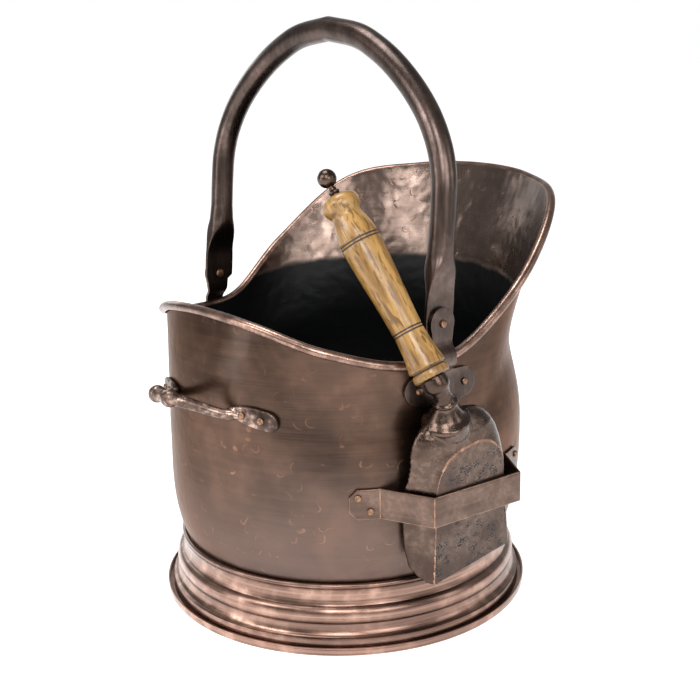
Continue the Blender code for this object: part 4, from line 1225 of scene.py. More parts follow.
    def build(self, finishes: Finishes) -> None:
        """Model the sheet, give it its thickness and dress both faces and the roll.

        Args:
            finishes: The bucket's finishes.
        """
        rows = self.lower_rows + self.upper_rows + self.roll_rows
        body = Bench.sheet("body_sheet", self.columns, rows, self.place)
        Bench.face_out(body)
        start = self.lower_rows + self.upper_rows
        for index, face in enumerate(body.data.polygons):
            face.material_index = 2 if index // self.columns >= start else 0
        Bench.dress(body, finishes.body, finishes.inside, finishes.rim, finishes.rim)
        Bench.modify(body, "SOLIDIFY", thickness=self.sheet, offset=0, use_even_offset=True, material_offset=1)
        Bench.smooth(body, 50)
        Bench.finish(body, Rider.BUCKET, "antique_copper", "bucket_body")


@dataclass
class FootRing:
    """The spun foot ring that the body sits in."""

    body: BucketBody
    sheet: float = 0.0015
    radius: float = 0.170
    top_roll: float = 0.0015
    cove: Point = (0.0009, 0.047)
    upper_groove: Point = (0.1536, 0.0375)
    bead: Point = (0.1588, 0.0300)
    lower_groove: Point = (0.1564, 0.0235)
    apron: Point = (0.1632, 0.0120)
    lip_height: float = 0.0085
    channel_width: float = 0.0055
    channel_corner: float = 0.0014
    cove_bow: float = 0.0006
    edge_round: float = 0.0004
    gap: float = 0.0003
    steps: int = 180

    def profile(self) -> list[Point]:
        """Give the middle of the sheet from the top roll to the lip.

        Returns:
            Radius and height of each point.
        """
        half = self.sheet / 2
        level = self.body.foot_height - half - self.top_roll
        run = self.body.outside(0, self.body.foot_height) - self.body.outside(0, level)
        rise = self.body.foot_height - level
        reach = self.body.outside(0, level) + (self.top_roll + half + self.gap) * math.hypot(run, rise) / rise
        points = arc((reach, level), self.top_roll, math.pi, -math.pi / 4, 12)
        throat = (reach - self.top_roll + self.cove[0], self.cove[1])
        knots = [points[-1], throat, self.upper_groove]
        for low, high in zip(knots, knots[1:]):
            for step in range(1, 7):
                share = step / 6
                bow = self.cove_bow * math.sin(math.pi * share)
                points.append((low[0] + (high[0] - low[0]) * share - bow, low[1] + (high[1] - low[1]) * share))
        tall, short = self.upper_groove[1] - self.bead[1], self.bead[1] - self.lower_groove[1]
        for step in range(1, 14):
            turn = math.pi / 2 - math.pi * step / 14
            deep = self.upper_groove[0] if turn > 0 else self.lower_groove[0]
            height = tall if turn > 0 else short
            swell = math.cos(turn)
            points.append((deep + (self.bead[0] - deep) * swell, self.bead[1] + height * math.sin(turn)))
        points.append(self.lower_groove)
        across, down = self.apron[0] - self.lower_groove[0], self.lower_groove[1] - self.apron[1]
        for step in range(1, 11):
            turn = math.pi / 2 * step / 10
            fall = self.lower_groove[1] - down * math.sin(turn)
            points.append((self.lower_groove[0] + across * (1 - math.cos(turn)), fall))
        outer = self.radius - half
        inner = outer - self.channel_width
        corner = self.channel_corner
        points += arc((inner + corner, half + corner), corner, math.pi, 1.5 * math.pi, 5)
        points += arc((outer - corner, half + corner), corner, -math.pi / 2, 0, 5)
        points.append((outer, self.lip_height - half - self.edge_round))
        return points

    def build(self, finishes: Finishes) -> None:
        """Spin the ring and dress it.

        Args:
            finishes: The bucket's finishes.
        """
        ring = Bench.dress(Bench.turned("foot_skirt", self.profile(), self.steps), finishes.foot)
        Bench.modify(ring, "SOLIDIFY", thickness=self.sheet, offset=0, use_even_offset=True)
        Bench.edit(ring)
        Bench.close_up()
        Bench.bevel(ring, self.edge_round, 55)
        Bench.smooth(ring, 50)
        Bench.finish(ring, Rider.BUCKET, "bright_copper", "foot_ring")


@dataclass
class RivetKit:
    """Rivets, each modelled once and copied to its places."""

    head: float = 0.0030
    rise: float = 0.0018
    shank: float = 0.0019
    pivot_head: float = 0.0034
    pivot_rise: float = 0.0022
    pivot_shank: float = 0.0025
    pivot_inner_head: float = 0.0043
    pivot_inner_rise: float = 0.0026
    sheet_gap: float = 0.0003
    body_sheet: float = 0.0012
    facet_sag: float = 0.0004
    steps: int = 28

    def outline(self, head: float, rise: float, shank: float, grip: float, inner: Point) -> list[Point]:
        """Give a rivet's outline, its outer head's seat at height nought.

        Args:
            head: Radius of the outer head.
            rise: Height of the outer head.
            shank: Radius of the shank.
            grip: Length of the shank between the heads.
            inner: Radius and height of the inner head.

        Returns:
            The outline.
        """
        points = [(0.0, rise)]
        for step in range(1, 7):
            turn = math.pi / 2 * step / 7
            points.append((head * math.sin(turn) ** 0.8, rise * (0.25 + 0.75 * math.cos(turn))))
        points += [(head, rise * 0.22), (head, 0.0), (shank, 0.0), (shank, -grip)]
        points += [(inner[0], -grip), (inner[0] * 0.8, -grip - inner[1] * 0.7), (0.0, -grip - inner[1])]
        return points

    def build(self, node: str, seat: Vector, plate: float, finishes: Finishes) -> None:
        """Make a rivet that holds a plate on the body.

        Args:
            node: The CAD node that it stands for.
            seat: Where the outer head sits.
            plate: Thickness of the plate.
            finishes: The bucket's finishes.
        """
        grip = plate + self.body_sheet + 3 * self.sheet_gap + self.facet_sag
        outline = self.outline(self.head, self.rise, self.shank, grip, (self.head, self.rise))
        rivet = Bench.turned(f"{node}_head", outline, self.steps)
        self.set_in(rivet, seat, Vector((seat.x, seat.y, 0)).normalized(), node, finishes)

    def build_pivot(self, node: str, seat: Vector, axis: Vector, grip: float, finishes: Finishes) -> None:
        """Make a rivet that the bail turns on.

        Args:
            node: The CAD node that it stands for.
            seat: Where the outer head sits.
            axis: Direction out of the head.
            grip: Length of the shank between the heads.
            finishes: The bucket's finishes.
        """
        inner = (self.pivot_inner_head, self.pivot_inner_rise)
        outline = self.outline(self.pivot_head, self.pivot_rise, self.pivot_shank, grip, inner)
        self.set_in(Bench.turned(f"{node}_rivet", outline, self.steps), seat, axis, node, finishes)

    @staticmethod
    def set_in(rivet: Piece, seat: Vector, axis: Vector, node: str, finishes: Finishes) -> None:
        """Set a rivet in its hole and dress it.

        Args:
            rivet: The turned rivet, its outer head's seat at the origin.
            seat: Where that seat goes.
            axis: Direction out of the head.
            node: The CAD node that it stands for.
            finishes: The bucket's finishes.
        """
        Bench.dress(rivet, finishes.rivet)
        turn = Z_AXIS.rotation_difference(axis).to_matrix().to_4x4()
        rivet.data.transform(Matrix.Translation(seat) @ turn)
        Bench.smooth(rivet, 35)
        Bench.finish(rivet, Rider.BUCKET, "rivet_copper", node)


@dataclass
class Ear:
    """A cranked ear strap with a round head and a three-lobed foot."""

    body: BucketBody
    rivets: RivetKit
    thickness: float = 0.0030
    head_radius: float = 0.0135
    neck_half: float = 0.0095
    lobe_height: float = 0.2227
    lobe_spread: float = 0.0230
    lobe_radius: float = 0.0125
    tail_drop: float = 0.0195
    tail_radius: float = 0.0115
    fillet: tuple[Point, ...] = ((0.0, 0.0022), (0.0008, 0.0006), (0.0026, 0.0))
    hinge_setback: float = 0.0260
    hinge_height: float = 0.2749
    hinge_spread: float = 0.1520
    blade_width: float = 0.0310
    blade_thickness: float = 0.0035
    gap: float = 0.0003
    sag: float = 0.0004
    scores: Point = (0.0045, 0.0025)
    edge_round: float = 0.00045

    def outline(self) -> list[Point]:
        """Give the ear's outline laid flat.

        Returns:
            Its points.
        """
        right = math.pi / 2
        half = self.neck_half
        neck = (self.lobe_height + self.lobe_radius + self.hinge_height - self.head_radius) / 2
        shoulder = self.lobe_height + self.lobe_radius
        side = arc((0, self.hinge_height), self.head_radius, right, -right / 4, 16)
        side += [(half, neck)] + [(half + out, shoulder + up) for out, up in self.fillet]
        side += arc((self.lobe_spread, self.lobe_height), self.lobe_radius, right, -right, 18)
        side += arc((0, self.lobe_height - self.tail_drop), self.tail_radius, right / 4, -right, 12)
        return side + [(-across, height) for across, height in side[-2:0:-1]]

    def azimuth(self) -> float:
        """Give the azimuth of the near ear's foot."""
        return -math.acos(-self.hinge_setback / self.body.outside(-math.pi / 2, self.lobe_height))

    def bead_plane(self) -> Point:
        """Give the distance from the middle plane, and the height, at which the ear clears the rim.

        Returns:
            The distance and the height.
        """
        azimuth = -math.acos((self.neck_half - self.hinge_setback) / self.body.side_reach)
        edge, outward, _ = self.body.rim_frame(azimuth)
        bead = edge + outward * self.body.roll_radius
        clear = self.body.roll_radius + self.body.sheet / 2 + self.gap + self.sag
        return -bead.y + clear + self.thickness / 2, bead.z

    def point(self, across: float, height: float, out: float) -> Vector:
        """Bend a point of the flat ear to the body, over the rim and in to the hinge.

        Args:
            across: Distance across the flat ear.
            height: Height on it.
            out: Distance out of its middle.

        Returns:
            The bent point, on the near side.
        """
        foot = self.body.on_sheet(self.azimuth(), across, height, self.gap + self.thickness / 2 + out)
        bead_plane, bead_height = self.bead_plane()
        hinge_plane = self.hinge_spread + self.gap / 2 + self.thickness / 2
        lobe_top = self.lobe_height + self.lobe_radius * 0.8
        bead_low = bead_height - self.body.roll_radius * 0.7
        bead_top = bead_height + self.body.roll_radius * 0.8
        blade_low = self.hinge_height - self.blade_width / 2 - self.gap
        lean = ease((height - bead_top) / (blade_low - bead_top))
        plane = bead_plane + (hinge_plane - bead_plane) * lean
        upper = Vector((across - self.hinge_setback, -plane - out, height))
        return foot.lerp(upper, ease((height - lobe_top) / (bead_low - lobe_top)))

    def build(self, side: Side, finishes: Finishes) -> None:
        """Cut, bend and dress an ear, and rivet it to the body and the bail.

        Args:
            side: Which side of the bucket it is on.
            finishes: The bucket's finishes.
        """
        label = side.name.lower()
        sign = side.value
        ear = Bench.plate(f"ear_strap_{label}", self.outline(), self.thickness, self.scores)

        def bent(point: Vector) -> Vector:
            """Bend one point and take it to this ear's side."""
            spot = self.point(point.x, point.z, self.thickness / 2 - point.y)
            return Vector((spot.x, spot.y * -sign, spot.z))

        Bench.bend(Bench.dress(ear, finishes.bronze, finishes.edge), bent)
        Bench.bevel(ear, self.edge_round, 60, 1)
        Bench.smooth(ear, 45)
        Bench.finish(ear, Rider.BUCKET, "dark_bronze", f"ear_{label}")
        tail = self.lobe_height - self.tail_drop
        spots = {"front": (self.lobe_spread, self.lobe_height), "rear": (-self.lobe_spread, self.lobe_height)}
        spots["low"] = (0.0, tail)
        for spot, (across, height) in spots.items():
            seat = self.body.on_sheet(self.azimuth() * -sign, across * -sign, height, self.thickness + 2 * self.gap)
            self.rivets.build(f"ear_{label}_rivet_{spot}", seat, self.thickness, finishes)
        outside = self.hinge_spread + self.gap / 2 + self.thickness + self.gap
        seat = Vector((-self.hinge_setback, sign * outside, self.hinge_height))
        grip = 3 * self.gap + self.thickness + self.blade_thickness
        self.rivets.build_pivot(f"bail_pivot_{label}", seat, Y_AXIS * sign, grip, finishes)


@dataclass
class Bail:
    """The pipe bail with its two ends pressed flat."""

    ear: Ear
    tilt: float = math.radians(5.2)
    rise: float = 0.2315
    tube_radius: float = 0.01045
    leg_spread: float = 0.1479
    rise_shares: Shares = (0.30, 0.40, 0.50, 0.60, 0.70, 0.79, 0.87, 0.93, 0.975, 1.0)
    spread_shares: Shares = (1.0, 1.0, 0.990, 0.945, 0.855, 0.728, 0.575, 0.420, 0.250, 0.0)
    blade_end: float = 0.0105
    blade_corner: float = 0.0090
    blade_round: float = 0.0030
    blade_rise: float = 0.0190
    blade_fade: float = 0.0360
    width_rise: float = 0.0180
    width_fade: float = 0.0500
    fade_end: float = 0.004
    bore_depth: float = 0.02
    vent_radius: float = 0.0016
    vent_depth: float = 0.0080
    vent_spread: float = 0.1415
    vent_height: float = 0.0385
    sides: int = 36

    def stations(self) -> list[tuple[float, float, float, float, float, float]]:
        """Give spread, height, half width, half thickness, squareness and corner cut along the bail.

        Returns:
            One row for each station.
        """
        tube = self.tube_radius
        blade = self.ear.hinge_spread - self.ear.gap / 2 - self.ear.blade_thickness / 2
        half_width, half_thick = self.ear.blade_width / 2, self.ear.blade_thickness / 2
        found = []
        corner = self.blade_corner - self.blade_end
        heights = [-self.blade_end, -self.blade_end * 0.93, -self.blade_end * 0.7, -self.blade_end * 0.4, corner]
        heights += [(self.blade_rise - corner) * step / 4 + corner for step in range(1, 4)]
        top = max(self.blade_rise + self.blade_fade, self.width_rise + self.width_fade)
        heights += [self.blade_rise + (top - self.blade_rise) * step / 18 for step in range(19)]
        for height in heights:
            fade = ease((height - self.blade_rise) / self.blade_fade)
            slim = min(max((height - self.width_rise) / self.width_fade, 0.0), 1.0)
            clip = max(0.0, -height / self.blade_end)
            wide = half_width + (tube - half_width) * slim - self.blade_round * clip**2
            thick = half_thick + (tube - half_thick) * fade
            spread = blade + (self.leg_spread - blade) * fade
            found.append((spread, height, wide, thick, 2 + 8 * (1 - fade), max(0.0, corner - height)))
        first = top / self.rise
        for step in range(1, 61):
            rise = smooth_value(self.rise_shares, step / 60, False)
            spread = smooth_value(self.spread_shares, step / 60, False)
            if rise > first + self.fade_end:
                found.append((self.leg_spread * spread, self.rise * rise, tube, tube, 2.0, 0.0))
        return found + [(-spread, *rest) for spread, *rest in found[-2::-1]]

    def build(self, finishes: Finishes) -> None:
        """Bend the pipe, press its ends flat and drill it.

        Args:
            finishes: The bucket's finishes.
        """
        stations = self.stations()
        last = len(stations) - 1
        frames = []
        for index, (spread, height, wide, thick, power, cut) in enumerate(stations):
            before, after = stations[max(index - 1, 0)], stations[min(index + 1, last)]
            along = Vector((0, after[0] - before[0], after[1] - before[1])).normalized()
            if height < self.blade_rise:
                along = Vector((0, 0, math.copysign(1, spread)))
            outline = power_ring(self.sides, wide, thick, power)
            ring = [(fore - cut * max(fore, 0) / wide, push) for fore, push in outline]
            frames.append((Vector((0, spread, height)), along.cross(X_AXIS), ring))

        def place(share_round: float, share_along: float) -> Vector:
            """Place a point of the bail from its two shares.

            Args:
                share_round: Share of the way round.
                share_along: Share of the way along.

            Returns:
                The point.
            """
            centre, out, ring = frames[round(share_along * last)]
            fore, push = ring[round(share_round * self.sides) % self.sides]
            return centre + X_AXIS * fore + out * push

        bail = Bench.dress(Bench.tube("bail_bow", self.sides, last, place), finishes.bronze)
        bore = self.ear.rivets.pivot_shank + self.ear.gap
        for side in Side:
            Bench.drill(bail, (0, side.value * self.ear.hinge_spread, 0), bore, self.bore_depth, 24)
            vent = (0, side.value * self.vent_spread, self.vent_height)
            Bench.drill(bail, vent, self.vent_radius, self.vent_depth, 20)
        hinge = Vector((-self.ear.hinge_setback, 0, self.ear.hinge_height))
        bail.data.transform(Matrix.Translation(hinge) @ Matrix.Rotation(self.tilt, 4, "Y"))
        Bench.smooth(bail, 38)
        Bench.finish(bail, Rider.BAIL, "dark_bronze", "bail_handle")


@dataclass
class TippingHandle:
    """The cast tipping handle at the back: a knuckled bow on two lugs."""

    body: BucketBody
    rivets: RivetKit
    lug_height: float = 0.2025
    lug_turn: float = math.radians(21.8)
    lug_length: float = 0.046
    lug_half: float = 0.0085
    lug_shares: Shares = (0.26, 0.54, 0.79, 0.94, 1.0, 1.0, 0.98, 0.98)
    lug_round: float = 0.19
    lug_thickness: float = 0.0045
    lug_thinning: float = 0.22
    lug_fall: float = 0.0072
    rivet_spread: float = 0.0172
    neck_turn: float = math.radians(14.5)
    bow_reach: float = 0.1960
    bow_rise: float = 0.0165
    out_shares: Shares = (0.020, 0.110, 0.24, 0.52, 0.82, 0.95, 1.0)
    spread_shares: Shares = (1.25, 1.09, 0.92, 0.56, 0.33, 0.20, 0.0)
    rise_shares: Shares = (0.02, 0.05, 0.11, 0.45, 0.82, 0.94, 1.0)
    radius_shares: Shares = (-1.9, 0.2, 0.0, 0.4, 1.0, 1.0, 1.0)
    neck_radius: float = 0.0044
    bow_radius: float = 0.0054
    knuckle_radius: float = 0.0076
    knuckle_spread: float = 0.0090
    scores: Point = (0.003, 0.004)
    gap: float = 0.0003
    voxel: float = 0.0008

    def knots(self) -> list[tuple[float, float, float, float]]:
        """Give the bow's points and radii from one neck to the other.

        Returns:
            The points and the radii.
        """
        neck = self.body.on_sheet(math.pi - self.neck_turn, 0, self.lug_height, self.gap)
        half = []
        shares = zip(self.out_shares, self.spread_shares, self.rise_shares, self.radius_shares)
        for out, spread, rise, radius in shares:
            reach = neck.x + (-self.bow_reach - neck.x) * out
            thick = self.neck_radius + (self.bow_radius - self.neck_radius) * radius
            half.append((reach, neck.y * spread, self.lug_height + self.bow_rise * rise, thick))
        return half + [(x, -y, z, thick) for x, y, z, thick in half[-2::-1]]

    def lug(self, side: Side) -> Piece:
        """Cut one lug and bend it to the body.

        Args:
            side: Which side of the bucket it is on.

        Returns:
            The lug.
        """
        upper = []
        for step in range(33):
            share = math.sin(math.pi / 2 * (1 - step / 32))
            rounding = max((share - 1 + self.lug_round) / self.lug_round, 0.0)
            half = self.lug_half * smooth_value(self.lug_shares, share, False) * math.sqrt(1 - rounding**2)
            upper.append((self.lug_length * (share - 0.5), half))
        outline = upper + [(along, -half) for along, half in upper[:0:-1]]
        lug = Bench.plate(f"tipping_lug_{side.name.lower()}", outline, self.lug_thickness, self.scores)
        azimuth = math.pi - self.lug_turn

        def bent(point: Vector) -> Vector:
            """Bend one point to the body.

            Args:
                point: The point of the flat lug.

            Returns:
                The bent point.
            """
            drop = self.lug_fall * point.x / self.lug_length
            thin = self.lug_thinning * (abs(point.z) / self.lug_half) ** 3
            out = self.gap + point.y * (1.0 - thin)
            spot = self.body.on_sheet(azimuth, -point.x, self.lug_height - drop + point.z, out)
            return Vector((spot.x, spot.y * side.value, spot.z))

        Bench.bend(lug, bent)
        return lug

    def build(self, finishes: Finishes) -> None:
        """Join bow, knuckles and lugs into one casting, dress it and rivet it on.

        Args:
            finishes: The bucket's finishes.
        """
        knots = self.knots()
        rings = 72

        def place(share_round: float, share_along: float) -> Vector:
            """Place a point of the bow from its two shares.

            Args:
                share_round: Share of the way round.
                share_along: Share of the way along.

            Returns:
                The point.
            """
            step = 0.5 / rings
            centre = smooth_point(knots, share_along)
            ahead = smooth_point(knots, min(share_along + step, 1.0))
            behind = smooth_point(knots, max(share_along - step, 0.0))
            along = (ahead - behind).normalized()
            side = along.cross(Z_AXIS).normalized()
            thick = smooth_value([knot[3] for knot in knots], share_along, False)
            turn = math.tau * share_round
            return centre + side * thick * math.cos(turn) + side.cross(along) * thick * math.sin(turn)

        parts = [Bench.tube("tipping_bow", 20, rings, place)]
        grip = knots[5]
        for side in Side:
            parts.append(self.lug(side))
            knuckle = Vector((grip[0], side.value * self.knuckle_spread, grip[2]))
            Bench.clear()
            size = {"segments": 24, "ring_count": 16, "radius": self.knuckle_radius}
            bpy.ops.mesh.primitive_uv_sphere_add(location=knuckle, **size)
            ball = Bench.named("tipping_ball")
            Bench.take(ball)
            bpy.ops.object.transform_apply(location=True, rotation=True, scale=True)
            parts.append(ball)
        handle = Bench.join("tipping_casting", parts)
        Bench.modify(handle, "REMESH", mode="VOXEL", voxel_size=self.voxel, use_smooth_shade=True)
        Bench.modify(handle, "SMOOTH", factor=0.5, iterations=9)
        Bench.take(handle)
        bpy.ops.object.shade_smooth()
        Bench.finish(Bench.dress(handle, finishes.worn), Rider.BUCKET, "cast_copper", "tipping_handle")
        for side in Side:
            for end, along in (("front", self.rivet_spread), ("rear", -self.rivet_spread)):
                azimuth = (math.pi - self.lug_turn) * side.value
                height = self.lug_height - self.lug_fall * along / 2 / self.lug_length
                out = self.lug_thickness + 2 * self.gap
                seat = self.body.on_sheet(azimuth, -along / 2 * side.value, height, out)
                self.rivets.build(f"tipping_rivet_{side.name.lower()}_{end}", seat, self.lug_thickness, finishes)


@dataclass
class Pocket:
    """The bent strap that holds the shovel, its tabs clipped at the corners."""

    body: BucketBody
    rivets: RivetKit
    azimuth: float = math.radians(-96)
    low: float = 0.119
    high: float = 0.145
    sheet: float = 0.0020
    reach: float = 0.1908
    half_width: float = 0.0455
    bend_turn: float = math.radians(24.6)
    tab_turn: float = math.radians(9.2)
    clip: float = 0.0065
    rivet_turns: Point = (0.33, 0.72)
    rivet_heights: Point = (0.27, 0.73)
    edge_round: float = 0.0005
    gap: float = 0.0003
    rows: int = 8

    def spot(self, across: float, out: float) -> Vector:
        """Give a plan place by distance across the pocket and distance out from the bucket's axis."""
        sideways = around(1, self.azimuth + math.pi / 2, 0)
        return around(1, self.azimuth, 0) * out + sideways * across

    def path(self) -> list[Vector]:
        """Give the strap's inner face in plan, from one tab's end to the other's.

        Returns:
            Its points.
        """
        middle = (self.low + self.high) / 2
        tab = []
        for step in range(13):
            azimuth = self.azimuth - (self.bend_turn + self.tab_turn * (1 - step / 12))
            tab.append(around(self.body.outside(azimuth, middle) + 1.5 * self.gap, azimuth, 0))
        corner = self.spot(-self.half_width, self.reach - self.sheet)
        half = tab + self.bow(tab[-1], corner)
        outward = around(1, self.azimuth, 0)
        sideways = around(1, self.azimuth + math.pi / 2, 0)
        other = [outward * point.dot(outward) - sideways * point.dot(sideways) for point in half[::-1]]
        for index in range(13):
            azimuth = math.atan2(other[-1 - index].y, other[-1 - index].x)
            other[-1 - index] = around(self.body.outside(azimuth, middle) + 1.5 * self.gap, azimuth, 0)
        return half + self.bow(half[-1], other[0])[:-1] + other

    @staticmethod
    def bow(start: Vector, stop: Vector) -> list[Vector]:
        """Give points of a straight run, close together near its ends."""
        return [start.lerp(stop, share) for share in (0.04, 0.2, 0.4, 0.6, 0.8, 0.96, 1.0)]

    def build(self, finishes: Finishes) -> None:
        """Bend the strap, dress it and rivet its tabs.

        Args:
            finishes: The bucket's finishes.
        """
        path = self.path()
        last = len(path) - 1
        middle = (self.low + self.high) / 2

        def place(share_along: float, share_up: float) -> Vector:
            """Place a point of the strap from its two shares.

            Args:
                share_along: Share of the way along.
                share_up: Share of the way up.

            Returns:
                The point.
            """
            point = path[round(share_along * last)]
            end = path[0] if share_along < 0.5 else path[-1]
            clip = max(0.0, self.clip - (point - end).length)
            half = (self.high - self.low) / 2 - clip
            return point + Z_AXIS * (middle + half * (2 * share_up - 1))

        strap = Bench.sheet("pocket_strap", last, self.rows, place)
        Bench.face_out(strap)
        Bench.dress(strap, finishes.strap, finishes.edge)
        Bench.modify(strap, "SOLIDIFY", thickness=self.sheet, offset=1, use_even_offset=True)
        Bench.bevel(strap, self.edge_round, 28, 1)
        Bench.smooth(strap, 30)
        Bench.finish(strap, Rider.BUCKET, "dark_bronze", "shovel_pocket")
        for label, sign in (("rear", -1), ("front", 1)):
            for level, along, up in zip(("low", "high"), self.rivet_turns, self.rivet_heights):
                azimuth = self.azimuth + sign * (self.bend_turn + self.tab_turn * along)
                plate = self.sheet + self.gap
                seat = self.body.on_sheet(azimuth, 0, self.low + (self.high - self.low) * up, plate + 2 * self.gap)
                self.rivets.build(f"pocket_rivet_{label}_{level}", seat, plate, finishes)


@dataclass
class Shovel:
    """The coal shovel: cast head, turned grip and ball finial."""

    pocket: Pocket
    roll: float = math.radians(10.5)
    lean: float = math.radians(6)
    tip_across: float = 0.0030
    tip_height: float = 0.0705
    pan_length: float = 0.137
    tip_half: float = 0.0417
    taper: float = 0.133
    wall_taper: float = 0.068
    wall_drift: float = 0.0062
    depth: float = 0.0310
    wall: float = 0.0022
    heel_walls: float = 1.3
    heel_share: float = 0.02
    crown: float = 0.0060
    flare: float = 0.50
    along_shares: Shares = (0.0, 0.03, 0.08, 0.19, 0.34, 0.50, 0.65, 0.74, 0.82, 0.88, 0.93, 0.97, 1.0)
    depth_shares: Shares = (0.22, 0.52, 0.76, 0.90, 0.95, 0.98, 1.0, 0.99, 0.97, 0.93, 0.87, 0.80, 0.70)
    width_shares: Shares = (1.0, 1.0, 1.0, 1.0, 1.0, 1.0, 1.03, 1.03, 0.99, 0.93, 0.84, 0.71, 0.50)
    crown_shares: Shares = (1.0, 1.0, 1.0, 1.0, 1.0, 1.0, 1.10, 0.50, -0.10, -0.35, -0.75, -1.30, -2.0)
    square_shares: Shares = (1.0, 1.0, 1.0, 1.0, 1.0, 0.90, 0.22, 0.09, 0.08, 0.08, 0.07, 0.03, 0.0)
    drift_shares: Shares = (0.0, 0.05, 0.11, 0.27, 0.48, 0.72, 0.94, 1.0, 0.92, 0.70, 0.45, 0.18, -0.06)
    square_power: float = 12.0
    round_power: float = 2.2
    socket_places: tuple[Spot, ...] = (
        (0.0005, 0.1135, -0.0155),
        (-0.0008, 0.1240, -0.0152),
        (-0.0036, 0.1348, -0.0148),
        (-0.0046, 0.1518, -0.0130),
        (-0.0082, 0.1630, -0.0130),
        (-0.0109, 0.1745, -0.0177),
    )
    bell_radius: float = 0.0205
    neck_radius: float = 0.0086
    turn_shares: Shares = (
        *(0.0, 0.20, 0.35, 0.375, 0.395, 0.415, 0.43, 0.445, 0.465, 0.50, 0.53, 0.56, 0.58, 0.595),
        *(0.61, 0.63, 0.645, 0.70, 0.77, 0.83, 0.86, 0.90, 0.95, 1.0),
    )
    radius_shares: Shares = (
        *(0.30, 0.74, 0.84, 0.93, 1.0, 0.95, 0.80, 0.62, 0.46, 0.29, 0.15, 0.05, 0.0, 0.10),
        *(0.19, 0.10, -0.03, -0.12, -0.14, -0.04, 0.12, 0.17, 0.15, 0.10),
    )
    grip_end: Spot = (-0.0146, 0.3125, -0.1226)
    grip_length: float = 0.1620
    grip_radius: float = 0.0167
    grip_shares: Shares = (
        *(0.0, 0.004, 0.020, 0.036, 0.042, 0.050, 0.056, 0.075, 0.110, 0.145, 0.180, 0.215, 0.240, 0.247),
        *(0.254, 0.262, 0.269, 0.300, 0.380, 0.450, 0.520, 0.580, 0.640, 0.700, 0.735, 0.742, 0.750, 0.758),
        *(0.765, 0.780, 0.800, 0.830, 0.860, 0.880, 0.895, 0.905, 0.915, 0.935, 0.955, 0.965, 0.980, 0.990, 1.0),
    )
    grip_radius_shares: Shares = (
        *(0.84, 0.89, 0.915, 0.89, 0.80, 0.80, 0.93, 0.915, 0.85, 0.81, 0.78, 0.757, 0.750, 0.720),
        *(0.752, 0.722, 0.755, 0.765, 0.80, 0.842, 0.89, 0.928, 0.96, 0.988, 1.0, 0.965, 1.0, 0.965),
        *(1.0, 0.985, 0.96, 0.90, 0.82, 0.760, 0.735, 0.74, 0.80, 0.91, 0.945, 0.93, 0.87, 0.80, 0.62),
    )
    grip_round: float = 0.0004
    burnt_rings: Shares = (0.046, 0.247, 0.262, 0.742, 0.758)
    stem_radius: float = 0.0046
    stem_length: float = 0.0085
    stem_shares: tuple[Point, ...] = (
        *((0.52, 0.92), (0.62, 0.72), (0.80, 0.60), (1.0, 0.50), (0.95, 0.36)),
        *((0.82, 0.26), (1.2, 0.16), (1.5, 0.10), (1.5, 0.0)),
    )
    finial_bore: float = 0.0073
    ball_radius: float = 0.0078
    rod_radius: float = 0.0030
    gap: float = 0.0003
    overrun: float = 0.004
    sides: int = 72
    rings: int = 120
    voxel: float = 0.00095
    face_cosines: Shares = (0.58, 0.90, 0.975, 0.985)
    face_reaches: Shares = (0.65, 0.7, 0.88)
    face_skin: float = 0.0008
    arch_skin: float = 0.0007
    side_low: float = -0.0014
    side_high: float = 0.0006

    def frame(self) -> Matrix:
        """Give the shovel's own frame: across, along from the cutting edge, and out of its flat face.

        Returns:
            The frame.
        """
        outward = around(1, self.pocket.azimuth, 0)
        sideways = around(1, self.pocket.azimuth + math.pi / 2, 0)
        along = Z_AXIS * math.cos(self.roll) - sideways * math.sin(self.roll)
        across = sideways * math.cos(self.roll) + Z_AXIS * math.sin(self.roll)
        tipped = along * math.cos(self.lean) + outward * math.sin(self.lean)
        out = outward * math.cos(self.lean) - along * math.sin(self.lean)
        rise = (self.pocket.high - self.tip_height) / tipped.z
        rise += (self.tip_half - self.taper * rise) * abs(across.z) / tipped.z
        inner = self.pocket.reach - self.pocket.sheet - self.gap
        tip = self.pocket.spot(self.tip_across, inner - rise * tipped.dot(outward))
        tip.z = self.tip_height
        turn = Matrix((across, tipped, out)).transposed().to_4x4()
        return Matrix.Translation(tip) @ turn

    def axis(self) -> Vector:
        """Give the grip's direction in the shovel's frame."""
        return (Vector(self.grip_end) - Vector(self.socket_places[-1])).normalized()

    def grip_frame(self) -> Matrix:
        """Give the grip's frame: its axis is Z and its lower end the origin."""
        turn = Z_AXIS.rotation_difference(self.axis()).to_matrix().to_4x4()
        return self.frame() @ Matrix.Translation(Vector(self.socket_places[-1])) @ turn

    def section(self, share: float, inset: float, deeper: float) -> list[Vector]:
        """Give a section of the pan's loaf.

        Args:
            share: Share of the pan's length.
            inset: How far it is moved in, for the hollow.
            deeper: How far its open side is moved out, for the hollow.

        Returns:
            The section's points.
        """
        reach = self.pan_length * share
        flat = self.tip_half - self.wall_taper * reach
        shift = self.wall_drift * at_share(self.along_shares, self.drift_shares, share)
        depth = self.depth * at_share(self.along_shares, self.depth_shares, share)
        width = at_share(self.along_shares, self.width_shares, share)
        crown = self.crown * at_share(self.along_shares, self.crown_shares, share)
        square = at_share(self.along_shares, self.square_shares, share)
        power = self.round_power + (self.square_power - self.round_power) * square
        top = min(crown, 0) - inset if inset else crown
        bottom = -depth - deeper
        points = []
        for fore, push in power_ring(self.sides, 1, 1, power):
            level = (top + bottom) / 2 + push * (top - bottom) / 2
            half = (flat - self.flare * level) * width - inset
            points.append(Vector((shift + fore * half, reach, level)))
        return points

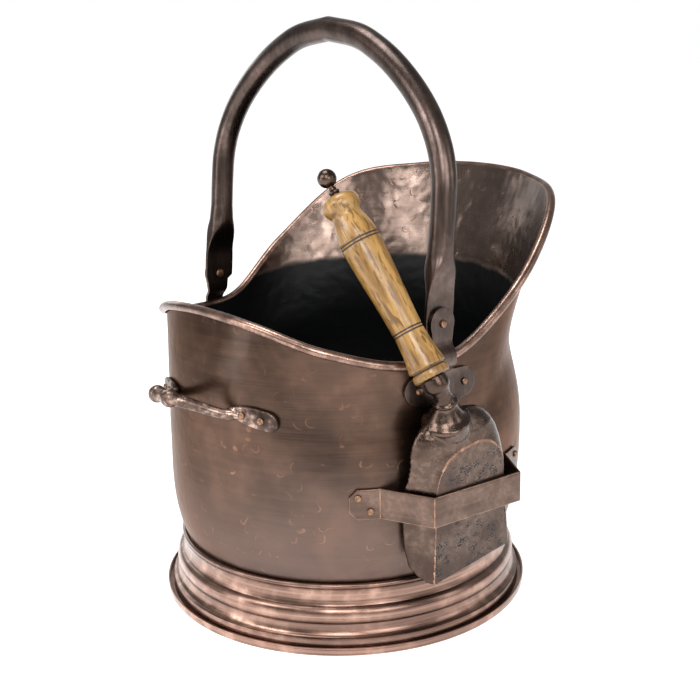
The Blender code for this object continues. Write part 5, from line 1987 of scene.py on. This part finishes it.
    def loaf(self, name: str, start: float, stop: float, inset: float, deeper: float) -> Piece:
        """Loft the pan's outside or its hollow.

        Args:
            name: The piece's name.
            start: Share of the pan's length where it starts.
            stop: Share of the pan's length where it stops.
            inset: How far its sides lie inside the pan's own.
            deeper: How far its open side is moved out.

        Returns:
            The piece.
        """
        shares = [start + (stop - start) * step / self.rings for step in range(self.rings + 1)]
        rings = [self.section(share, inset, deeper) for share in shares]
        if inset:
            rings[0] = [point - Y_AXIS * self.overrun for point in rings[0]]

        def place(share_round: float, share_along: float) -> Vector:
            """Place a point of the loaf from its two shares."""
            return rings[round(share_along * self.rings)][round(share_round * self.sides) % self.sides]

        return Bench.tube(name, self.sides, self.rings, place)

    def socket(self) -> Piece:
        """Loft the socket: a bell on the pan's heel, a ringed neck and a collar.

        Returns:
            The socket.
        """
        steps, look = 64, 0.04

        def place(share_round: float, share_along: float) -> Vector:
            """Place a point of the socket from its two shares.

            Args:
                share_round: Share of the way round.
                share_along: Share of the way along.

            Returns:
                The point.
            """
            centre = smooth_point(self.socket_places, share_along)
            ahead = smooth_point(self.socket_places, min(share_along + look, 1.0))
            behind = smooth_point(self.socket_places, max(share_along - look, 0.0))
            along = (ahead - behind).normalized() if share_along < 1 else self.axis()
            size = at_share(self.turn_shares, self.radius_shares, share_along)
            radius = self.neck_radius + (self.bell_radius - self.neck_radius) * size
            side = along.cross(X_AXIS).normalized()
            turn = math.tau * share_round
            return centre + side.cross(along) * radius * math.cos(turn) + side * radius * math.sin(turn)

        return Bench.tube("shovel_socket_cast", 40, steps, place)

    def build_head(self, finishes: Finishes) -> None:
        """Cast the head in one piece and dress its skin, its pitted face and its edges.

        Args:
            finishes: The bucket's finishes.
        """
        head = self.loaf("shovel_casting", 0.0, 1.0, 0.0, 0.0)
        thick = 2 * self.crown
        reach = self.socket_places[0][1]
        Bench.clear()
        bpy.ops.mesh.primitive_cube_add(size=1, location=(0, (reach - self.overrun) / 2, thick / 2))
        plane = Bench.named("face_plane")
        plane.scale = (4 * self.tip_half, reach + self.overrun, thick)
        Bench.take(plane)
        bpy.ops.object.transform_apply(location=True, rotation=True, scale=True)
        Bench.cut(head, plane)
        Bench.cut(head, self.socket(), "UNION")
        stop = 1 - self.heel_walls * self.wall / self.pan_length - self.heel_share
        Bench.cut(head, self.loaf("pan_hollow", 0.0, stop, self.wall, self.overrun))
        Bench.modify(head, "REMESH", mode="VOXEL", voxel_size=self.voxel, use_smooth_shade=True)
        Bench.modify(head, "SMOOTH", factor=0.5, iterations=2)
        Bench.dress(head, finishes.cast, finishes.pitted, finishes.edge)
        steep, slanting, nearly, level = self.face_cosines
        arch_from, side_to, flat_to = (share * reach for share in self.face_reaches)
        for face in head.data.polygons:
            middle, facing = face.center, face.normal.z
            flat = facing > level and abs(middle.z) < self.face_skin and middle.y < flat_to
            side = steep < facing < slanting and self.side_low < middle.z < self.side_high and middle.y < side_to
            arch = slanting < facing < nearly and abs(middle.z) < self.arch_skin and arch_from < middle.y < reach
            face.material_index = 1 if flat else 2 if side or arch else 0
        head.data.transform(self.frame())
        Bench.take(head)
        bpy.ops.object.shade_smooth()
        Bench.finish(head, Rider.SHOVEL, "cast_copper", "shovel_head")

    def build_grip(self, finishes: Finishes) -> None:
        """Turn the grip and the finial.

        Args:
            finishes: The bucket's finishes.
        """
        bore = self.rod_radius + self.gap
        outline = []
        for low, high, start, stop in zip(
            self.grip_shares, self.grip_shares[1:], self.grip_radius_shares, self.grip_radius_shares[1:]
        ):
            for part in (0.0, 0.5):
                share = low + (high - low) * part
                radius = self.grip_radius * (start + (stop - start) * part)
                outline.append((radius, self.gap + self.grip_length * share))
        outline.append((self.grip_radius * self.grip_radius_shares[-1], self.gap + self.grip_length))
        outline = outline[::-1] + [(bore, self.gap), (bore, self.gap + self.grip_length), outline[-1]]
        grip = Bench.turned("turned_grip", outline, 56)
        Bench.bevel(grip, self.grip_round, 40)
        grip.data.transform(self.grip_frame())
        Bench.smooth(grip, 42)
        Bench.finish(Bench.dress(grip, finishes.wood), Rider.SHOVEL, "waxed_wood", "wooden_grip")
        foot = self.grip_length + 2 * self.gap
        middle = foot + self.stem_length + self.ball_radius
        joint = math.asin(self.stem_radius / 2 / self.ball_radius)
        ball = arc((0, middle), self.ball_radius, math.pi / 2, joint - math.pi / 2, 20)
        ball[0] = (0.0, middle + self.ball_radius)
        ball += [(self.stem_radius * wide, foot + self.stem_length * up) for wide, up in self.stem_shares]
        ball += [(bore, foot), (bore, foot + self.finial_bore), (0.0, foot + self.finial_bore)]
        finial = Bench.turned("ball_finial", ball, 36)
        finial.data.transform(self.grip_frame())
        Bench.smooth(finial, 45)
        Bench.finish(Bench.dress(finial, finishes.cast), Rider.SHOVEL, "cast_copper", "handle_finial")


@dataclass
class Studio:
    """Floor, lamps, world and camera."""

    eye: Spot = (-0.6963, -0.7961, 0.5053)
    forward: Spot = (0.6414, 0.7213, -0.2615)
    up: Spot = (0.1898, 0.1811, 0.9650)
    lens: float = 61.04
    sensor: float = 36.0
    ambient: float = 0.52
    room: float = 0.28
    floor_glow: float = 0.62
    pale: Colour = (0.86, 0.86, 0.86)
    white: Colour = (1.0, 1.0, 1.0)

    def build_camera(self) -> None:
        """Place the camera at the photograph's angle."""
        Bench.clear()
        bpy.ops.object.camera_add()
        camera = bpy.context.object
        forward = Vector(self.forward).normalized()
        right = forward.cross(Vector(self.up)).normalized()
        turn = Matrix((right, right.cross(forward), -forward)).transposed().to_4x4()
        camera.matrix_world = Matrix.Translation(Vector(self.eye)) @ turn
        camera.data.lens = self.lens
        camera.data.sensor_width = self.sensor
        camera.data.clip_start = 0.01
        bpy.context.scene.camera = camera

    def build_floor(self) -> None:
        """Lay a pale floor that keeps the object's shadow."""
        Bench.clear()
        bpy.ops.mesh.primitive_plane_add(size=24)
        floor = Bench.named("studio_floor")
        material = bpy.data.materials.new("pale_floor")
        material.use_nodes = True
        board = Board(material.node_tree)
        shader = material.node_tree.nodes["Principled BSDF"]
        board.fill(shader, Base_Color=self.pale, Roughness=0.9, Specular_IOR_Level=0.0, Emission_Color=self.white)
        light = board.add("LightPath")
        seen = board.math("MAXIMUM", light.outputs["Is Camera Ray"], light.outputs["Is Glossy Ray"])
        seen = board.math("MAXIMUM", seen, light.outputs["Is Transmission Ray"])
        board.fill(shader, Emission_Strength=board.times(seen, self.floor_glow))
        floor.data.materials.append(material)

    def build_world(self) -> None:
        """Surround the object with plain soft light behind a white backdrop."""
        world = bpy.data.worlds.new("studio")
        world.use_nodes = True
        bpy.context.scene.world = world
        board = Board(world.node_tree)
        background = world.node_tree.nodes["Background"]
        light = board.add("LightPath")
        seen = board.math("MAXIMUM", light.outputs["Is Camera Ray"], light.outputs["Is Transmission Ray"])
        way = board.add("TexCoord").outputs["Generated"]
        facing = board.vectors("DOT_PRODUCT", way, self.forward)
        backdrop = board.values(board.step(facing, 0.55, 0.98), self.room, 1.0)
        glossy = board.times(light.outputs["Is Glossy Ray"], backdrop)
        soft = board.times(board.rest(light.outputs["Is Glossy Ray"]), self.ambient)
        lit = board.math("MAXIMUM", soft, glossy)
        board.fill(background, Color=self.white, Strength=board.math("MAXIMUM", seen, lit))

    @staticmethod
    def lamp(name: str, spot: Sequence[float], aim: Sequence[float], size: Point, power: float) -> None:
        """Hang a soft box.

        Args:
            name: The lamp's name.
            spot: Where it hangs.
            aim: The point that it faces.
            size: Its width and height.
            power: Its power in watts.
        """
        Bench.clear()
        bpy.ops.object.light_add(type="AREA", location=spot)
        lamp = bpy.context.object
        lamp.name = name
        lamp.data.shape = "RECTANGLE"
        lamp.data.size, lamp.data.size_y = size
        lamp.data.energy = power
        lamp.rotation_mode = "QUATERNION"
        lamp.rotation_quaternion = (Vector(aim) - Vector(spot)).to_track_quat("-Z", "Y")

    def build(self) -> None:
        """Build the studio."""
        bpy.context.scene.view_settings.view_transform = "Standard"
        self.build_camera()
        self.build_floor()
        self.build_world()
        self.lamp("key_box", (-1.15, -1.05, 1.25), (0, 0, 0.20), (0.55, 0.9), 17)
        self.lamp("left_strip", (-1.35, 0.55, 0.55), (0, 0, 0.22), (0.35, 1.1), 6)
        self.lamp("right_box", (0.75, -1.45, 0.75), (0.05, 0, 0.22), (0.5, 0.9), 4)
        self.lamp("front_box", (-0.38, -1.30, 0.72), (0.0, 0, 0.32), (0.55, 0.55), 7)
        self.lamp("hood_box", (-1.02, 0.10, 0.92), (0.15, 0.07, 0.32), (0.40, 0.32), 4.5)
        self.lamp("back_box", (0.08, 1.15, 0.58), (0.15, -0.07, 0.34), (0.5, 0.4), 1.2)
        self.lamp("top_box", (-0.25, 0.25, 1.75), (0.05, 0, 0.25), (0.7, 0.7), 14)


def dress_frame_nodes(finishes: Finishes) -> None:
    """Dress the CAD nodes that stay in view.

    Args:
        finishes: The bucket's finishes.
    """
    dressed = {"rim_wire": finishes.steel, "handle_rod": finishes.steel, "bucket_bottom": finishes.inside}
    for name, finish in dressed.items():
        node = frame["nodes"][name]
        node.data.materials.clear()
        node.data.materials.append(finish.material())
        LOG.info("%s: dressed", name)


def main() -> None:
    """Build the studio and every sub-assembly."""
    logging.basicConfig(level=logging.INFO, format="%(name)s: %(message)s")
    Studio().build()
    body = BucketBody()
    rivets = RivetKit()
    ear = Ear(body, rivets)
    pocket = Pocket(body, rivets)
    shovel = Shovel(pocket)
    finishes = Finishes(shovel.grip_frame(), shovel.grip_length, shovel.burnt_rings)
    body.build(finishes)
    FootRing(body).build(finishes)
    for side in Side:
        ear.build(side, finishes)
    Bail(ear).build(finishes)
    TippingHandle(body, rivets).build(finishes)
    pocket.build(finishes)
    shovel.build_head(finishes)
    shovel.build_grip(finishes)
    dress_frame_nodes(finishes)


if __name__ == "__main__":
    main()
